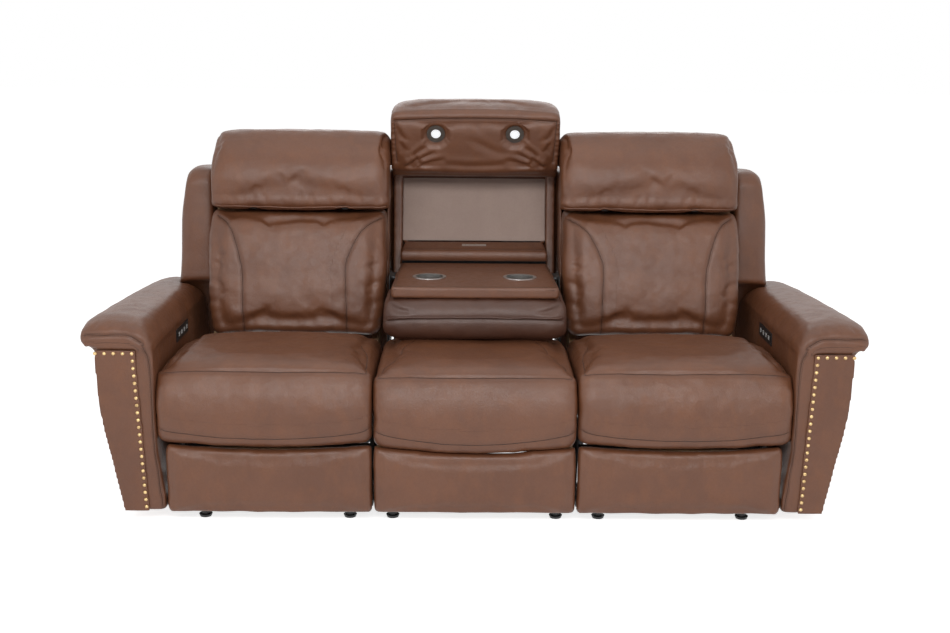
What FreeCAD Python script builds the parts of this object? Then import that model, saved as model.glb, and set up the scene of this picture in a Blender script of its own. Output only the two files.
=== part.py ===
import FreeCAD, Part

import math
import os

# Three-seat power reclining sofa with a drop-down console in its middle back.
# Millimetres. +X is to the right seen from the front, +Y runs to the back, +Z is up.
# The origin is on the floor under the middle of the sofa. "Left" is the side at -X.

V = FreeCAD.Vector

# Overall driving sizes
ARM_TIP_X = 1143.0  # half of the overall width, at the arm tops
FRONT_Y = -512.0  # front of the seat cushions
REAR_Y = 512.0  # rear of the outside backs at their top edge
GLIDE_HEIGHT = 38.0
GLIDE_RADIUS = 20.0
CLEAR = 0.4  # seat of one soft piece on another
SOFT_GAP = 1.0  # room between soft pieces on different bodies

# Seats
SEAT_SPLIT_X = 300.5  # between the middle seat and an outer seat
ARM_INNER_X = 931.0  # inner face of an arm at seat height
ARM_FOOT_INNER_X = 910.0  # inner face of an arm at its foot
SEAT_CUSHION_BOTTOM = 300.0
SEAT_REAR_Y = 60.0
SEAT_REAR_TOP = 440.0
SIDE_SEAM_Z = 458.0
MIDDLE_SEAM_Z = 446.0
SEAT_CROWN = 24.0
LIP_Z = 232.0  # underside of the seat's front roll at its middle
LIP_RISE = 16.0  # the underside is this much higher at the corners
LIP_BACK_Y = -440.0
PANEL_GAP = 7.0  # between that underside and the panel below it
PANEL_BOTTOM = 33.0
ARM_BOTTOM = 37.0
PANEL_THICK = 45.0
PANEL_FRONT_Y = -505.0
BOARD_THICK = 14.0
DECK_THICK = 18.0
FRAME_BAR = 22.0

# Back of the outer seats, sloping with the cushion faces
BACK_FOOT_Y = 45.0  # cushion face at BACK_FOOT_Z
BACK_FOOT_Z = 450.0
BACK_SLOPE = 0.2765  # run of the face in Y for each unit of Z
BACK_BOTTOM = 446.0
BACK_TOP = 840.0
BACK_THICK = 150.0
BACK_INNER_X = 291.0
BACK_OUTER_X = 884.0
HEAD_INNER_X = 282.0
HEAD_OUTER_X = 872.0
HEAD_BOTTOM = 848.0
HEAD_TOP = 1099.0
SHELL_TOP = 964.0
SHELL_BOTTOM = 240.0
SHELL_THICK = 16.0
SHELL_SLOPE = 0.1233
SHELL_OUTER_X = 990.0
SHELL_TOP_X = 946.0  # its outer edge at the top
SHELL_WALL = 8.0
WING_BOTTOM_X = 1007.0
WING_TOP_X = 966.0
WING_CREST = 973.0
WING_FRONT_Y = 226.0
RECLINE_Y = 120.0
RECLINE_Z = 360.0
ARM_SWEEP_R = 255.0  # the arm's rear end is round about the recline pivot
WING_SWEEP_R = 262.0
HEAD_PIVOT_Y = 154.0
HEAD_PIVOT_Z = 862.0
HEAD_PIN_R = 5.0

# Arms
ARM_FRONT_Y = -498.0
ARM_CROWN_Z = 614.0
ARM_SEAM_Z = 571.0
ARM_CAP_Z = 528.0
ARM_FOOT_OUTER_X = 1033.0
ARM_OUTER_X = 1098.0  # outer face of an arm's body under its pillow top
ARM_STRIP_TOP = 82.0
ARM_REAR_Y = 404.0
ARM_WALL_X = 1010.0  # the arm behind this runs on beside the reclining back
FRONT_PANEL_THICK = 6.0
NAIL_R = 5.8
NAIL_RISE = 4.0
NAIL_PITCH_ACROSS = 26.0
NAIL_PITCH_DOWN = 22.0
NAIL_MARGIN = 9.0  # from the inset panel's inner edge to the middle of the nails
STRIP_SHARE_TOP = 0.293  # width of the plain strip beside the inset panel, as a share of the arm
STRIP_SHARE_FOOT = 0.382

# Switch plate on an arm's inner face
SWITCH_Y0 = -178.0
SWITCH_Y1 = -8.0
SWITCH_Z0 = 474.0
SWITCH_Z1 = 514.0
SWITCH_THICK = 3.0
BUTTON_SIZE = 13.0
BUTTON_TRAVEL = 1.2
BUTTON_NAMES = ["recline_open_button", "recline_close_button", "headrest_out_button", "headrest_in_button"]
BUTTON_Y = [-145.0, -108.0, -71.0, -34.0]
BUTTON_Z = 494.0

# Console: pivot, folded cushion and table
CONSOLE_Y = 125.0
CONSOLE_Z = 530.0
TABLE_TOP = 650.0
TABLE_THICK = 36.0
TABLE_FRONT_Y = -152.0
TABLE_REAR_Y = 300.0
TABLE_FRONT_X = 263.0
TABLE_REAR_X = 253.0
CUSHION_FRONT_Y = -187.0
CUSHION_REAR_Y = 198.0
CUSHION_BOTTOM = 476.0
CUSHION_X = 288.0
CUP_X = 147.0
CUP_Y = 34.0
CUP_RIM_R = 55.0
CUP_R = 44.0
CUP_DEPTH = 62.0
CUP_WALL = 1.5
CONSOLE_ARM_X = 280.0
CONSOLE_ARM_THICK = 5.0
CONSOLE_PIN_R = 8.0

# Recess behind the console
POST_INNER_X = 250.0
POST_OUTER_X = 281.0
LINER_FOOT_Y = 389.5
LINER_FOOT_Z = 712.0
LINER_TOP_Z = 926.0
LINER_THICK = 6.0
BOX_FRONT_Y = 343.0
BOX_BOTTOM = 580.0
LID_FRONT_Y = 303.0
LID_REAR_Y = 382.0
LID_FRONT_TOP = 690.0
LID_REAR_TOP = 714.0
LID_THICK = 36.0
LID_HALF_FRONT = 253.0
LID_HALF_REAR = 240.0
LID_PIN_R = 3.0  # hinge pins at the ends of the lid's rear edge

# Middle headrest, shown flipped up
FLIP_Y = 430.0
FLIP_Z = 950.0
FLIP_KNUCKLE_R = 19.0
FLIP_PIN_R = 8.0
FLIP_HALF = 280.0
HEAD_SEAM_Y = 192.0  # upper edge of the middle headrest's lamp face
HEAD_SEAM_Z = 1149.0
HEAD_CHIN_Y = 260.0  # lower edge of that face
HEAD_CHIN_Z = 978.0
LAMP_X = 131.0
LAMP_Y = 211.5
LAMP_Z = 1100.0
LAMP_SEAT = 0.9
LAMP_TILT = math.degrees(math.atan2(HEAD_SEAM_Z - HEAD_CHIN_Z, HEAD_SEAM_Y - HEAD_CHIN_Y))
LAMP_R = 30.0
LENS_R = 16.0

# Footrest linkage, one pair of arms on each side of an outer seat
LIFT_Y = -293.0
LIFT_Z = 232.0
LINK_LENGTH = 200.0
FOOT_Y = -425.0
FOOT_Z = 135.0
LINK_WIDTH = 20.0
LINK_THICK = 5.0
LINK_PIN_R = 5.0
PIN_CLEAR = 0.15
LIFT_NEAR = 2.0  # room between a mechanism plate and the lift link
REACH_NEAR = LIFT_NEAR + LINK_THICK + 2.0

PLATE_THICK = 6.0
HALF_ROOT = math.sqrt(0.5)
MECH_OUTER_X = 899.0  # mechanism plate beside the arm
MECH_INNER_X = 309.0  # mechanism plate beside the middle seat
RAIL_TOP = 66.0
RAIL_WIDTH = 27.0
RAIL_FRONT_Y = -444.0
FRONT_BAR_TOP = 58.0  # front cross bars, low enough for the links to swing over
RAIL_REAR_Y = 214.0


def box(x0, x1, y0, y1, z0, z1):
    return Part.makeBox(x1 - x0, y1 - y0, z1 - z0, V(x0, y0, z0))


def in_yz(x):
    return lambda a, b: V(x, a, b)


def in_xz(y):
    return lambda a, b: V(a, y, b)


def in_xy(z):
    return lambda a, b: V(a, b, z)


def outline(place, start, *steps):
    """Closed wire. A step of two numbers is a line, a step of two points is an arc (middle, end)."""
    edges = []
    here = start
    for step in steps:
        if isinstance(step[0], tuple):
            middle, end = step
            edges.append(Part.Arc(place(*here), place(*middle), place(*end)).toShape())
            here = end
        else:
            edges.append(Part.LineSegment(place(*here), place(*step)).toShape())
            here = step
    if math.dist(here, start) > 1e-6:
        edges.append(Part.LineSegment(place(*here), place(*start)).toShape())
    return Part.Wire(edges)


def prism(wire, vector):
    return Part.Face(wire).extrude(vector)


def slab_x(x0, x1, start, *steps):
    """A profile in the YZ plane, drawn out from x0 to x1."""
    return prism(outline(in_yz(x0), start, *steps), V(x1 - x0, 0, 0))


def bar(radius, start, end):
    along = end - start
    return Part.makeCylinder(radius, along.Length, start, along)


def cyl_x(radius, x0, x1, y, z):
    return Part.makeCylinder(radius, x1 - x0, V(x0, y, z), V(1, 0, 0))


def loft(wires):
    return Part.makeLoft(wires, True, True, False)


def mirrored(shape):
    return shape.mirror(V(0, 0, 0), V(1, 0, 0))


def join(shapes):
    body = shapes[0]
    for other in shapes[1:]:
        body = body.fuse(other)
    return body.removeSplitter()


def shell_y(z):
    """Rear surface of the outside backs."""
    return REAR_Y - (SHELL_TOP - z) * SHELL_SLOPE


def face_y(z):
    """Front surface of the back cushions."""
    return BACK_FOOT_Y + (z - BACK_FOOT_Z) * BACK_SLOPE


def round_in(distance, width, depth):
    """How far an edge is drawn in at a distance from the end of a padded piece."""
    if distance >= width:
        return 0.0
    share = 1.0 - distance / width
    return depth * (1.0 - math.sqrt(max(0.0, 1.0 - share * share)))


def stations(x0, x1, width):
    """Places along a padded piece, close together near its two ends."""
    ends = [0.0, 0.06 * width, 0.22 * width, 0.5 * width, width]
    inner = [(x1 - x0) * share for share in (0.3, 0.5, 0.7)]
    places = ends + inner + [x1 - x0 - e for e in reversed(ends)]
    return [(x0 + p, min(p, x1 - x0 - p)) for p in places]


def arch(x, x0, x1):
    """1 in the middle of a span and 0 at its ends."""
    half = (x1 - x0) / 2.0
    return 1.0 - ((x - (x0 + x1) / 2.0) / half) ** 2


# Seats

def seat_cushion(x0, x1, seam_z, lip_z):
    round_width = 46.0
    wires = []
    for x, edge in stations(x0, x1, round_width):
        down = round_in(edge, round_width, 26.0)
        inward = round_in(edge, round_width, 24.0)
        crown = SEAT_CROWN * arch(x, x0, x1)
        lip = lip_z + LIP_RISE * (1.0 - arch(x, x0, x1))
        seam = seam_z - down * 0.5 - 6.0 * (1.0 - arch(x, x0, x1))
        top = seam_z - down + 4.0 + crown
        rear_top = SEAT_REAR_TOP - down
        wires.append(outline(
            in_yz(x),
            (SEAT_REAR_Y - inward, SEAT_CUSHION_BOTTOM),
            (SEAT_REAR_Y - inward * 0.5, rear_top - 30.0),
            ((SEAT_REAR_Y - inward * 0.5 - 8.0, rear_top - 8.0), (SEAT_REAR_Y - 34.0, rear_top)),
            ((-215.0, top), (-466.0 + inward * 0.4, seam)),
            ((FRONT_Y + inward + 3.0, (seam + lip) / 2.0 + 16.0), (FRONT_Y + inward + 6.0, lip + 24.0)),
            ((FRONT_Y + inward + 13.0, lip + 6.0), (FRONT_Y + inward + 32.0, lip)),
            (LIP_BACK_Y, lip + 3.0),
            (LIP_BACK_Y, SEAT_CUSHION_BOTTOM),
        ))
    return loft(wires)


def front_panel_shape(x0, x1, lip_z, y_front, thick):
    """Padded panel below a seat, its top edge curved like the seat's underside."""
    round_width = 26.0
    wires = []
    for x, edge in stations(x0, x1, round_width):
        inward = round_in(edge, round_width, 16.0)
        lip = lip_z + LIP_RISE * (1.0 - arch(x, x0, x1)) - PANEL_GAP
        wires.append(outline(
            in_yz(x),
            (y_front + thick, PANEL_BOTTOM),
            (y_front + thick, lip - 3.0),
            (y_front + 20.0, lip - 1.0),
            ((y_front + 6.0 + inward, lip - 7.0), (y_front + 3.0 + inward, lip - 24.0)),
            ((y_front + inward, 140.0), (y_front + 4.0 + inward, PANEL_BOTTOM + 10.0)),
            (y_front + 12.0 + inward, PANEL_BOTTOM),
        ))
    return loft(wires)


def seat_frame(x0, x1):
    """Deck board with a rail under its front and rear edges."""
    top = SEAT_CUSHION_BOTTOM
    deck = box(x0, x1, LIP_BACK_Y + 6.0, SEAT_REAR_Y + 12.0, top - DECK_THICK, top)
    rail_z = top - DECK_THICK - 36.0
    front = box(x0, x1, LIP_BACK_Y + 6.0, LIP_BACK_Y + 6.0 + FRAME_BAR, rail_z, top - DECK_THICK)
    rear = box(x0, x1, SEAT_REAR_Y + 12.0 - FRAME_BAR, SEAT_REAR_Y + 12.0, rail_z, top - DECK_THICK)
    return join([deck, front, rear])


# Arms

def arm_section(y, top_z, tuck):
    """Pillow top of an arm as an XZ outline, on the +X side, drawn in by tuck at its ends."""
    inner = ARM_INNER_X + tuck * 0.6
    tip = ARM_TIP_X - tuck
    width = tip - inner
    tip_z = max(min(top_z - 40.0, ARM_SEAM_Z + 1.0), ARM_CAP_Z + 8.0)
    return outline(
        in_xz(y),
        (inner, ARM_CAP_Z),
        ((inner + 0.08 * width, (ARM_CAP_Z + top_z) / 2.0 + 12.0), (inner + 0.34 * width, top_z - 5.0)),
        ((inner + 0.61 * width, top_z), (tip - 0.1 * width, top_z - 13.0)),
        ((tip - 0.03 * width, top_z - 23.0), (tip - 0.005 * width, tip_z)),
        ((tip - 0.09 * width, (tip_z + ARM_CAP_Z) / 2.0), (tip - 0.2 * width, ARM_CAP_Z)),
    )


def arm_pad():
    rows = [
        (ARM_FRONT_Y - 9.0, 568.0, 14.0), (ARM_FRONT_Y - 7.0, 578.0, 5.0), (ARM_FRONT_Y + 5.0, 593.0, 0.0),
        (ARM_FRONT_Y + 32.0, 607.0, 0.0), (ARM_FRONT_Y + 78.0, 615.0, 0.0), (-340.0, ARM_CROWN_Z, 0.0),
        (-150.0, 607.0, 2.0), (60.0, 598.0, 7.0), (200.0, 592.0, 12.0), (320.0, 586.0, 16.0),
        (ARM_REAR_Y - 16.0, 581.0, 20.0), (ARM_REAR_Y - 2.0, 568.0, 28.0),
    ]
    body = loft([arm_section(y, z, tuck) for y, z, tuck in rows])
    return body.cut(behind_sweep(ARM_SWEEP_R))


def behind_sweep(radius):
    """Room for the reclining back: inside the arm's outer wall, beyond a radius about the pivot."""
    reach = 900.0
    room = box(800.0, ARM_WALL_X, RECLINE_Y, RECLINE_Y + reach, ARM_STRIP_TOP, RECLINE_Z + reach)
    return room.cut(cyl_x(radius, 790.0, ARM_WALL_X + 1.0, RECLINE_Y, RECLINE_Z))


def arm_body():
    """Upholstered box of an arm under its pillow top, hollowed at the rear for the reclining back."""
    section = outline(
        in_xz(ARM_FRONT_Y),
        (ARM_FOOT_INNER_X, ARM_BOTTOM),
        (ARM_FOOT_INNER_X, RAIL_TOP + 8.0),
        (ARM_INNER_X, 236.0),
        (ARM_INNER_X, ARM_CAP_Z - CLEAR),
        (ARM_OUTER_X, ARM_CAP_Z - CLEAR),
        ((ARM_OUTER_X - 2.0, 380.0), (ARM_OUTER_X - 29.0, 220.0)),
        (ARM_FOOT_OUTER_X, ARM_BOTTOM),
    )
    body = prism(section, V(0, ARM_REAR_Y - ARM_FRONT_Y, 0))
    return body.cut(behind_sweep(ARM_SWEEP_R)).cut(switch_pocket())


def nail_line():
    """Centres of the nail heads on the +X arm: across the top, then down the inner edge."""
    top_z = ARM_CAP_Z - 11.0
    outer_x = ARM_OUTER_X - 4.0
    corner_x = panel_inner_x() + NAIL_MARGIN
    bottom_x = ARM_FOOT_INNER_X + STRIP_SHARE_FOOT * (ARM_FOOT_OUTER_X - ARM_FOOT_INNER_X) + NAIL_MARGIN
    bottom_z = ARM_BOTTOM + 17.0
    across = max(1, round((outer_x - corner_x) / NAIL_PITCH_ACROSS))
    down = round((top_z - bottom_z) / NAIL_PITCH_DOWN)
    places = []
    for i in range(across + 1):
        places.append((outer_x + (corner_x - outer_x) * i / across, top_z))
    for i in range(1, down + 1):
        share = i / down
        places.append((corner_x + (bottom_x - corner_x) * share, top_z + (bottom_z - top_z) * share))
    return places


def panel_inner_x():
    """Inner edge of an arm's inset front panel at its top."""
    return ARM_INNER_X + STRIP_SHARE_TOP * (ARM_OUTER_X - ARM_INNER_X)


def arm_front_panel():
    y0 = ARM_FRONT_Y - FRONT_PANEL_THICK
    return prism(outline(
        in_xz(y0),
        (ARM_FOOT_OUTER_X - 3.0, ARM_BOTTOM + 2.0),
        (ARM_OUTER_X - 33.0, 220.0),
        ((ARM_OUTER_X - 7.0, 378.0), (ARM_OUTER_X - 3.0, ARM_CAP_Z - 2.0)),
        (panel_inner_x(), ARM_CAP_Z - 2.0),
        (ARM_FOOT_INNER_X + STRIP_SHARE_FOOT * (ARM_FOOT_OUTER_X - ARM_FOOT_INNER_X), ARM_BOTTOM + 2.0),
    ), V(0, FRONT_PANEL_THICK - CLEAR * 0.5, 0))


def nailheads():
    y0 = ARM_FRONT_Y - FRONT_PANEL_THICK
    ball_r = (NAIL_R ** 2 + NAIL_RISE ** 2) / (2.0 * NAIL_RISE)
    heads = []
    for x, z in nail_line():
        ball = Part.makeSphere(ball_r, V(x, y0 - NAIL_RISE + ball_r, z))
        keep = box(x - NAIL_R - 2, x + NAIL_R + 2, y0 - NAIL_RISE - 2, y0 - CLEAR * 0.5, z - NAIL_R - 2, z + NAIL_R + 2)
        heads.append(ball.common(keep))
    return Part.makeCompound(heads + [mirrored(h) for h in heads])


def switch_pocket():
    depth = 14.0
    return box(ARM_INNER_X - 1.0, ARM_INNER_X + depth, SWITCH_Y0 + 5.0, SWITCH_Y1 - 5.0, SWITCH_Z0 + 3.0, SWITCH_Z1 - 3.0)


def button_hole(y, grow):
    half = BUTTON_SIZE / 2.0 + grow
    return box(ARM_INNER_X - 6.0, ARM_INNER_X + 13.0, y - half, y + half, BUTTON_Z - half, BUTTON_Z + half)


def switch_panel():
    face = ARM_INNER_X - SWITCH_THICK
    plate = box(face, ARM_INNER_X - CLEAR * 0.5, SWITCH_Y0, SWITCH_Y1, SWITCH_Z0, SWITCH_Z1)
    plate = plate.makeFillet(0.9, [e for e in plate.Edges if all(abs(v.X - face) < 0.1 for v in e.Vertexes)])
    housing = box(ARM_INNER_X - CLEAR * 0.5, ARM_INNER_X + 12.0, SWITCH_Y0 + 6.0, SWITCH_Y1 - 6.0, SWITCH_Z0 + 4.0, SWITCH_Z1 - 4.0)
    inside = box(ARM_INNER_X + 1.5, ARM_INNER_X + 10.5, SWITCH_Y0 + 8.0, SWITCH_Y1 - 8.0, SWITCH_Z0 + 6.0, SWITCH_Z1 - 6.0)
    body = join([plate, housing]).cut(inside)
    for y in BUTTON_Y:
        body = body.cut(button_hole(y, 0.3).common(box(face - 1, ARM_INNER_X + 2, -400, 400, 0, 900)))
    port = box(face - 1.0, face + 1.5, SWITCH_Y0 + 4.0, SWITCH_Y0 + 14.0, SWITCH_Z0 + 10.0, SWITCH_Z1 - 10.0)
    return body.cut(port)


def button(y):
    half = BUTTON_SIZE / 2.0
    face = ARM_INNER_X - SWITCH_THICK - 1.6
    cap = box(face, ARM_INNER_X + 1.5 + 1.0, y - half, y + half, BUTTON_Z - half, BUTTON_Z + half)
    cap = cap.makeFillet(1.0, [e for e in cap.Edges if all(abs(v.X - face) < 0.1 for v in e.Vertexes)])
    flange = box(ARM_INNER_X + 1.5 + 0.3, ARM_INNER_X + 1.5 + 2.5, y - half - 2, y + half + 2, BUTTON_Z - half - 2, BUTTON_Z + half + 2)
    stem = cyl_x(2.0, ARM_INNER_X + 3.0, ARM_INNER_X + 10.5 - BUTTON_TRAVEL - 0.3, y, BUTTON_Z)
    return join([cap, flange, stem])


# Backs of the outer seats

def back_cushion():
    """Seat back pad on the +X side, lofted up its slope from drawn-in ends."""
    rows = []
    height = BACK_TOP - BACK_BOTTOM
    steps = [
        (0.0, 22.0), (6.0, 12.0), (20.0, 4.0), (48.0, 0.0), (140.0, 0.0), (230.0, 0.0),
        (height - 69.0, 0.0), (height - 27.0, 4.0), (height - 8.0, 11.0), (height, 20.0),
    ]
    for rise, tuck in steps:
        z = BACK_BOTTOM + rise
        share = rise / height
        lumbar = 10.0 * math.sin(math.pi * min(1.0, share * 1.1))
        inner = BACK_INNER_X + 14.0 * max(0.0, 1.0 - share * 2.2) + tuck * 0.6
        outer = BACK_OUTER_X - 12.0 * max(0.0, 1.0 - share * 2.2) - tuck * 0.6
        front = face_y(z) + tuck - lumbar
        rear = face_y(z) + BACK_THICK - tuck * 0.2
        middle = (inner + outer) / 2.0
        rows.append(outline(
            in_xy(z),
            (inner, rear),
            (inner, front + 34.0),
            ((inner + 9.0, front + 12.0), (inner + 34.0, front + 2.0)),
            ((middle, front - 6.0), (outer - 34.0, front + 2.0)),
            ((outer - 9.0, front + 12.0), (outer, front + 34.0)),
            (outer, rear),
        ))
    return loft(rows)


def headrest():
    """Side headrest: a pad in front of the back shell with a roll over the shell's top edge."""
    wires = []
    round_width = 40.0
    notch_y = 262.0
    for x, edge in stations(HEAD_INNER_X, HEAD_OUTER_X, round_width):
        pull = round_in(edge, round_width, 26.0)
        middle = arch(x, HEAD_INNER_X, HEAD_OUTER_X)
        top = HEAD_TOP - 8.0 + 8.0 * middle - pull
        low = HEAD_BOTTOM + 4.0 - 4.0 * middle
        wires.append(outline(
            in_yz(x),
            (notch_y, low + 12.0),
            (notch_y, SHELL_TOP + 12.0),
            (404.0 - pull * 0.6, SHELL_TOP + 14.0),
            ((422.0 - pull * 0.8, SHELL_TOP + 56.0), (396.0 - pull * 0.5, top - 32.0)),
            ((300.0, top), (224.0 + pull, top - 26.0)),
            ((148.0 + pull, 985.0), (128.0 + pull, low + 30.0)),
            ((129.0 + pull, low + 8.0), (146.0 + pull, low)),
        ))
    pad = loft(wires)
    for x in head_hinge_places():
        slot = box(x - 14.0, x + 14.0, HEAD_PIVOT_Y, notch_y + 2.0, HEAD_BOTTOM - 20.0, HEAD_PIVOT_Z + 7.0)
        below = box(x - 14.0, x + 14.0, HEAD_PIVOT_Y - 12.0, HEAD_PIVOT_Y + 12.0, HEAD_BOTTOM - 20.0, HEAD_PIVOT_Z)
        eye = cyl_x(12.0, x - 14.0, x + 14.0, HEAD_PIVOT_Y, HEAD_PIVOT_Z)
        pin = cyl_x(HEAD_PIN_R + PIN_CLEAR, x - 26.5, x + 26.5, HEAD_PIVOT_Y, HEAD_PIVOT_Z)
        pad = pad.cut(join([slot, below, eye, pin]))
    return pad


def head_hinge_places():
    return [430.0, 730.0]


def headrest_hinge():
    """Steel straps from the back board to the headrest's pivot, each with its pin."""
    parts = []
    for x in head_hinge_places():
        strap = box(x - 10.0, x + 10.0, HEAD_PIVOT_Y, 262.0, HEAD_PIVOT_Z - 5.0, HEAD_PIVOT_Z + 3.0)
        flange = box(x - 24.0, x + 24.0, 262.0, 265.6, HEAD_PIVOT_Z - 5.0, HEAD_PIVOT_Z + 36.0)
        eye = cyl_x(10.0, x - 10.0, x + 10.0, HEAD_PIVOT_Y, HEAD_PIVOT_Z)
        pin = cyl_x(HEAD_PIN_R, x - 26.0, x + 26.0, HEAD_PIVOT_Y, HEAD_PIVOT_Z)
        parts.append(join([strap, flange, eye, pin]))
    return Part.makeCompound(parts)


def back_frame():
    """Plywood back board with two side members that reach down to the recline pivot."""
    x0 = 322.0
    x1 = 878.0
    rear_gap = BACK_THICK + 0.5
    front_low = face_y(BACK_BOTTOM + 4.0) + rear_gap
    front_high = face_y(BACK_TOP) + rear_gap
    board = slab_x(x0, x1, (front_low, BACK_BOTTOM + 4.0), (front_high, BACK_TOP + 2.0), (262.0 + 4.0, BACK_TOP + 6.0),
                   (262.0 + 4.0, SHELL_TOP - 4.0), (262.0 + 26.0, SHELL_TOP - 4.0), (262.0 + 26.0, BACK_TOP + 28.0),
                   (front_high + 14.0, BACK_TOP + 28.0), (front_high + 14.0, BACK_TOP), (front_low + 14.0, BACK_BOTTOM + 4.0))
    members = []
    for a, b in ((x0, x0 + FRAME_BAR), (x1 - FRAME_BAR, x1)):
        members.append(slab_x(
            a, b,
            (RECLINE_Y - 24.0, RECLINE_Z - 26.0),
            (RECLINE_Y - 24.0, RECLINE_Z + 26.0),
            (front_low + 6.0, BACK_BOTTOM + 6.0),
            (front_high + 6.0, BACK_TOP + 10.0),
            (shell_y(BACK_TOP) - SHELL_THICK - 2.0, BACK_TOP + 10.0),
            (shell_y(430.0) - SHELL_THICK - 2.0, 430.0),
            (RECLINE_Y + 40.0, RECLINE_Z - 26.0),
        ))
    frame = join([board] + members)
    for a, b in ((x0, x0 + FRAME_BAR), (x1 - FRAME_BAR, x1)):
        frame = frame.cut(cyl_x(10.0 + PIN_CLEAR, a - 5, b + 5, RECLINE_Y, RECLINE_Z))
    return frame


def outside_panel(x0, x1, z0, z1):
    """Leather-covered outer panel with a rolled top edge."""
    return slab_x(
        x0, x1,
        (shell_y(z0) - SHELL_THICK, z0),
        (shell_y(z1) - SHELL_THICK, z1 - 10.0),
        ((shell_y(z1) - SHELL_THICK * 0.5, z1), (shell_y(z1), z1 - 8.0)),
        (shell_y(z0), z0),
    )


def outside_back():
    """Outer panel of an outer seat's back, with its top cover and the wall beside the recess."""
    x0 = BACK_INNER_X + SOFT_GAP
    panel = outside_panel(x0, SHELL_OUTER_X, SHELL_BOTTOM, SHELL_TOP)
    beside = prism(outline(
        in_xz(300.0),
        (SHELL_OUTER_X, 600.0),
        (SHELL_TOP_X, SHELL_TOP + 1.0),
        (SHELL_OUTER_X + 1.0, SHELL_TOP + 1.0),
        (SHELL_OUTER_X + 1.0, 600.0),
    ), V(0, 300.0, 0))
    panel = panel.cut(beside)
    cover_y = 292.0
    cover_z = SHELL_TOP - 14.0
    rear_y = shell_y(cover_z) - SHELL_THICK * 0.5
    cover = box(x0, BACK_OUTER_X - SOFT_GAP, cover_y, rear_y, cover_z, SHELL_TOP - 4.0)
    behind = BACK_THICK + 4.0
    wall = slab_x(
        x0, x0 + SHELL_WALL,
        (face_y(BACK_BOTTOM + 8.0) + behind, BACK_BOTTOM + 8.0),
        (face_y(BACK_TOP) + behind, BACK_TOP),
        (cover_y, BACK_TOP + 8.0),
        (cover_y, cover_z + 2.0),
        (rear_y, cover_z + 2.0),
        (shell_y(SHELL_BOTTOM) - SHELL_THICK * 0.5, SHELL_BOTTOM),
        (300.0, SHELL_BOTTOM),
    )
    flange_y = 436.0
    flange_z = 480.0
    flange = slab_x(
        POST_OUTER_X + 2.0 * SOFT_GAP, x0 + 1.0,
        (flange_y, flange_z),
        (flange_y, cover_z + 2.0),
        (rear_y, cover_z + 2.0),
        (shell_y(flange_z) - SHELL_THICK * 0.5, flange_z),
    )
    return join([panel, cover, wall, flange])


def wing():
    """Padded side of the back, standing out beside the cushion above the arm."""
    inner = BACK_OUTER_X + CLEAR
    crest = WING_CREST

    def on_sweep(angle):
        return (RECLINE_Y + WING_SWEEP_R * math.cos(angle), RECLINE_Z + WING_SWEEP_R * math.sin(angle))

    def side(x, tuck, lean):
        start_angle = math.acos((WING_FRONT_Y + tuck - RECLINE_Y) / WING_SWEEP_R)
        rear_low = shell_y(SHELL_BOTTOM + 6.0) - SHELL_THICK - CLEAR
        rear_high = shell_y(crest - 12.0 - lean) - SHELL_THICK - CLEAR
        last_angle = math.asin((SHELL_BOTTOM + 6.0 - RECLINE_Z) / WING_SWEEP_R)
        return outline(
            in_yz(x),
            on_sweep(start_angle),
            (WING_FRONT_Y + 30.0 + tuck, crest - 60.0 - lean),
            ((WING_FRONT_Y + 46.0 + tuck, crest - 18.0 - lean), (WING_FRONT_Y + 84.0 + tuck, crest - lean)),
            ((WING_FRONT_Y + 160.0, crest + 1.0 - lean), (rear_high, crest - 12.0 - lean)),
            (rear_low, SHELL_BOTTOM + 6.0),
            on_sweep(last_angle),
            (on_sweep((last_angle + start_angle) / 2.0), on_sweep(start_angle)),
        )

    rows = [(inner, 10.0, 8.0), (inner + 6.0, 3.0, 2.0), (inner + 22.0, 0.0, 0.0), (935.0, 0.0, 0.0),
            (957.0, 1.0, 3.0), (976.0, 4.0, 20.0), (993.0, 10.0, 120.0), (WING_BOTTOM_X, 24.0, 320.0)]
    return loft([side(x, tuck, lean) for x, tuck, lean in rows])


# Mechanism of the outer seats

def turned(length, degrees):
    angle = math.radians(degrees)
    return (length * math.cos(angle), length * math.sin(angle))


def knee_point():
    """Closed position of the joint between the lift links and the reach links."""
    dy = FOOT_Y - LIFT_Y
    dz = FOOT_Z - LIFT_Z
    reach = math.hypot(dy, dz)
    angle = math.degrees(math.atan2(dz, dy)) % 360.0
    half = math.degrees(math.acos(reach / 2.0 / LINK_LENGTH))
    step = turned(LINK_LENGTH, angle + half)
    return (LIFT_Y + step[0], LIFT_Z + step[1])


def link(x0, x1, start, end, hole_r):
    """Flat link with round ends and a hole at each end."""
    length = math.dist(start, end)
    half = LINK_WIDTH / 2.0
    flat = join([
        Part.makeBox(x1 - x0, length, LINK_WIDTH, V(x0, 0, -half)),
        cyl_x(half, x0, x1, 0, 0),
        cyl_x(half, x0, x1, length, 0),
    ])
    angle = math.degrees(math.atan2(end[1] - start[1], end[0] - start[0]))
    flat.rotate(V(0, 0, 0), V(1, 0, 0), angle)
    flat.translate(V(0, start[0], start[1]))
    for y, z in (start, end):
        flat = flat.cut(cyl_x(hole_r, x0 - 1, x1 + 1, y, z))
    return flat


def link_sides():
    """Inner faces of the two mechanism plates of the +X seat, with the direction into the seat."""
    return [(MECH_INNER_X + PLATE_THICK, 1.0), (MECH_OUTER_X - PLATE_THICK, -1.0)]


def span(face, direction, near, far):
    """An X interval that starts 'near' and ends 'far' from a plate face."""
    a = face + direction * near
    b = face + direction * far
    return (min(a, b), max(a, b))


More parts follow.
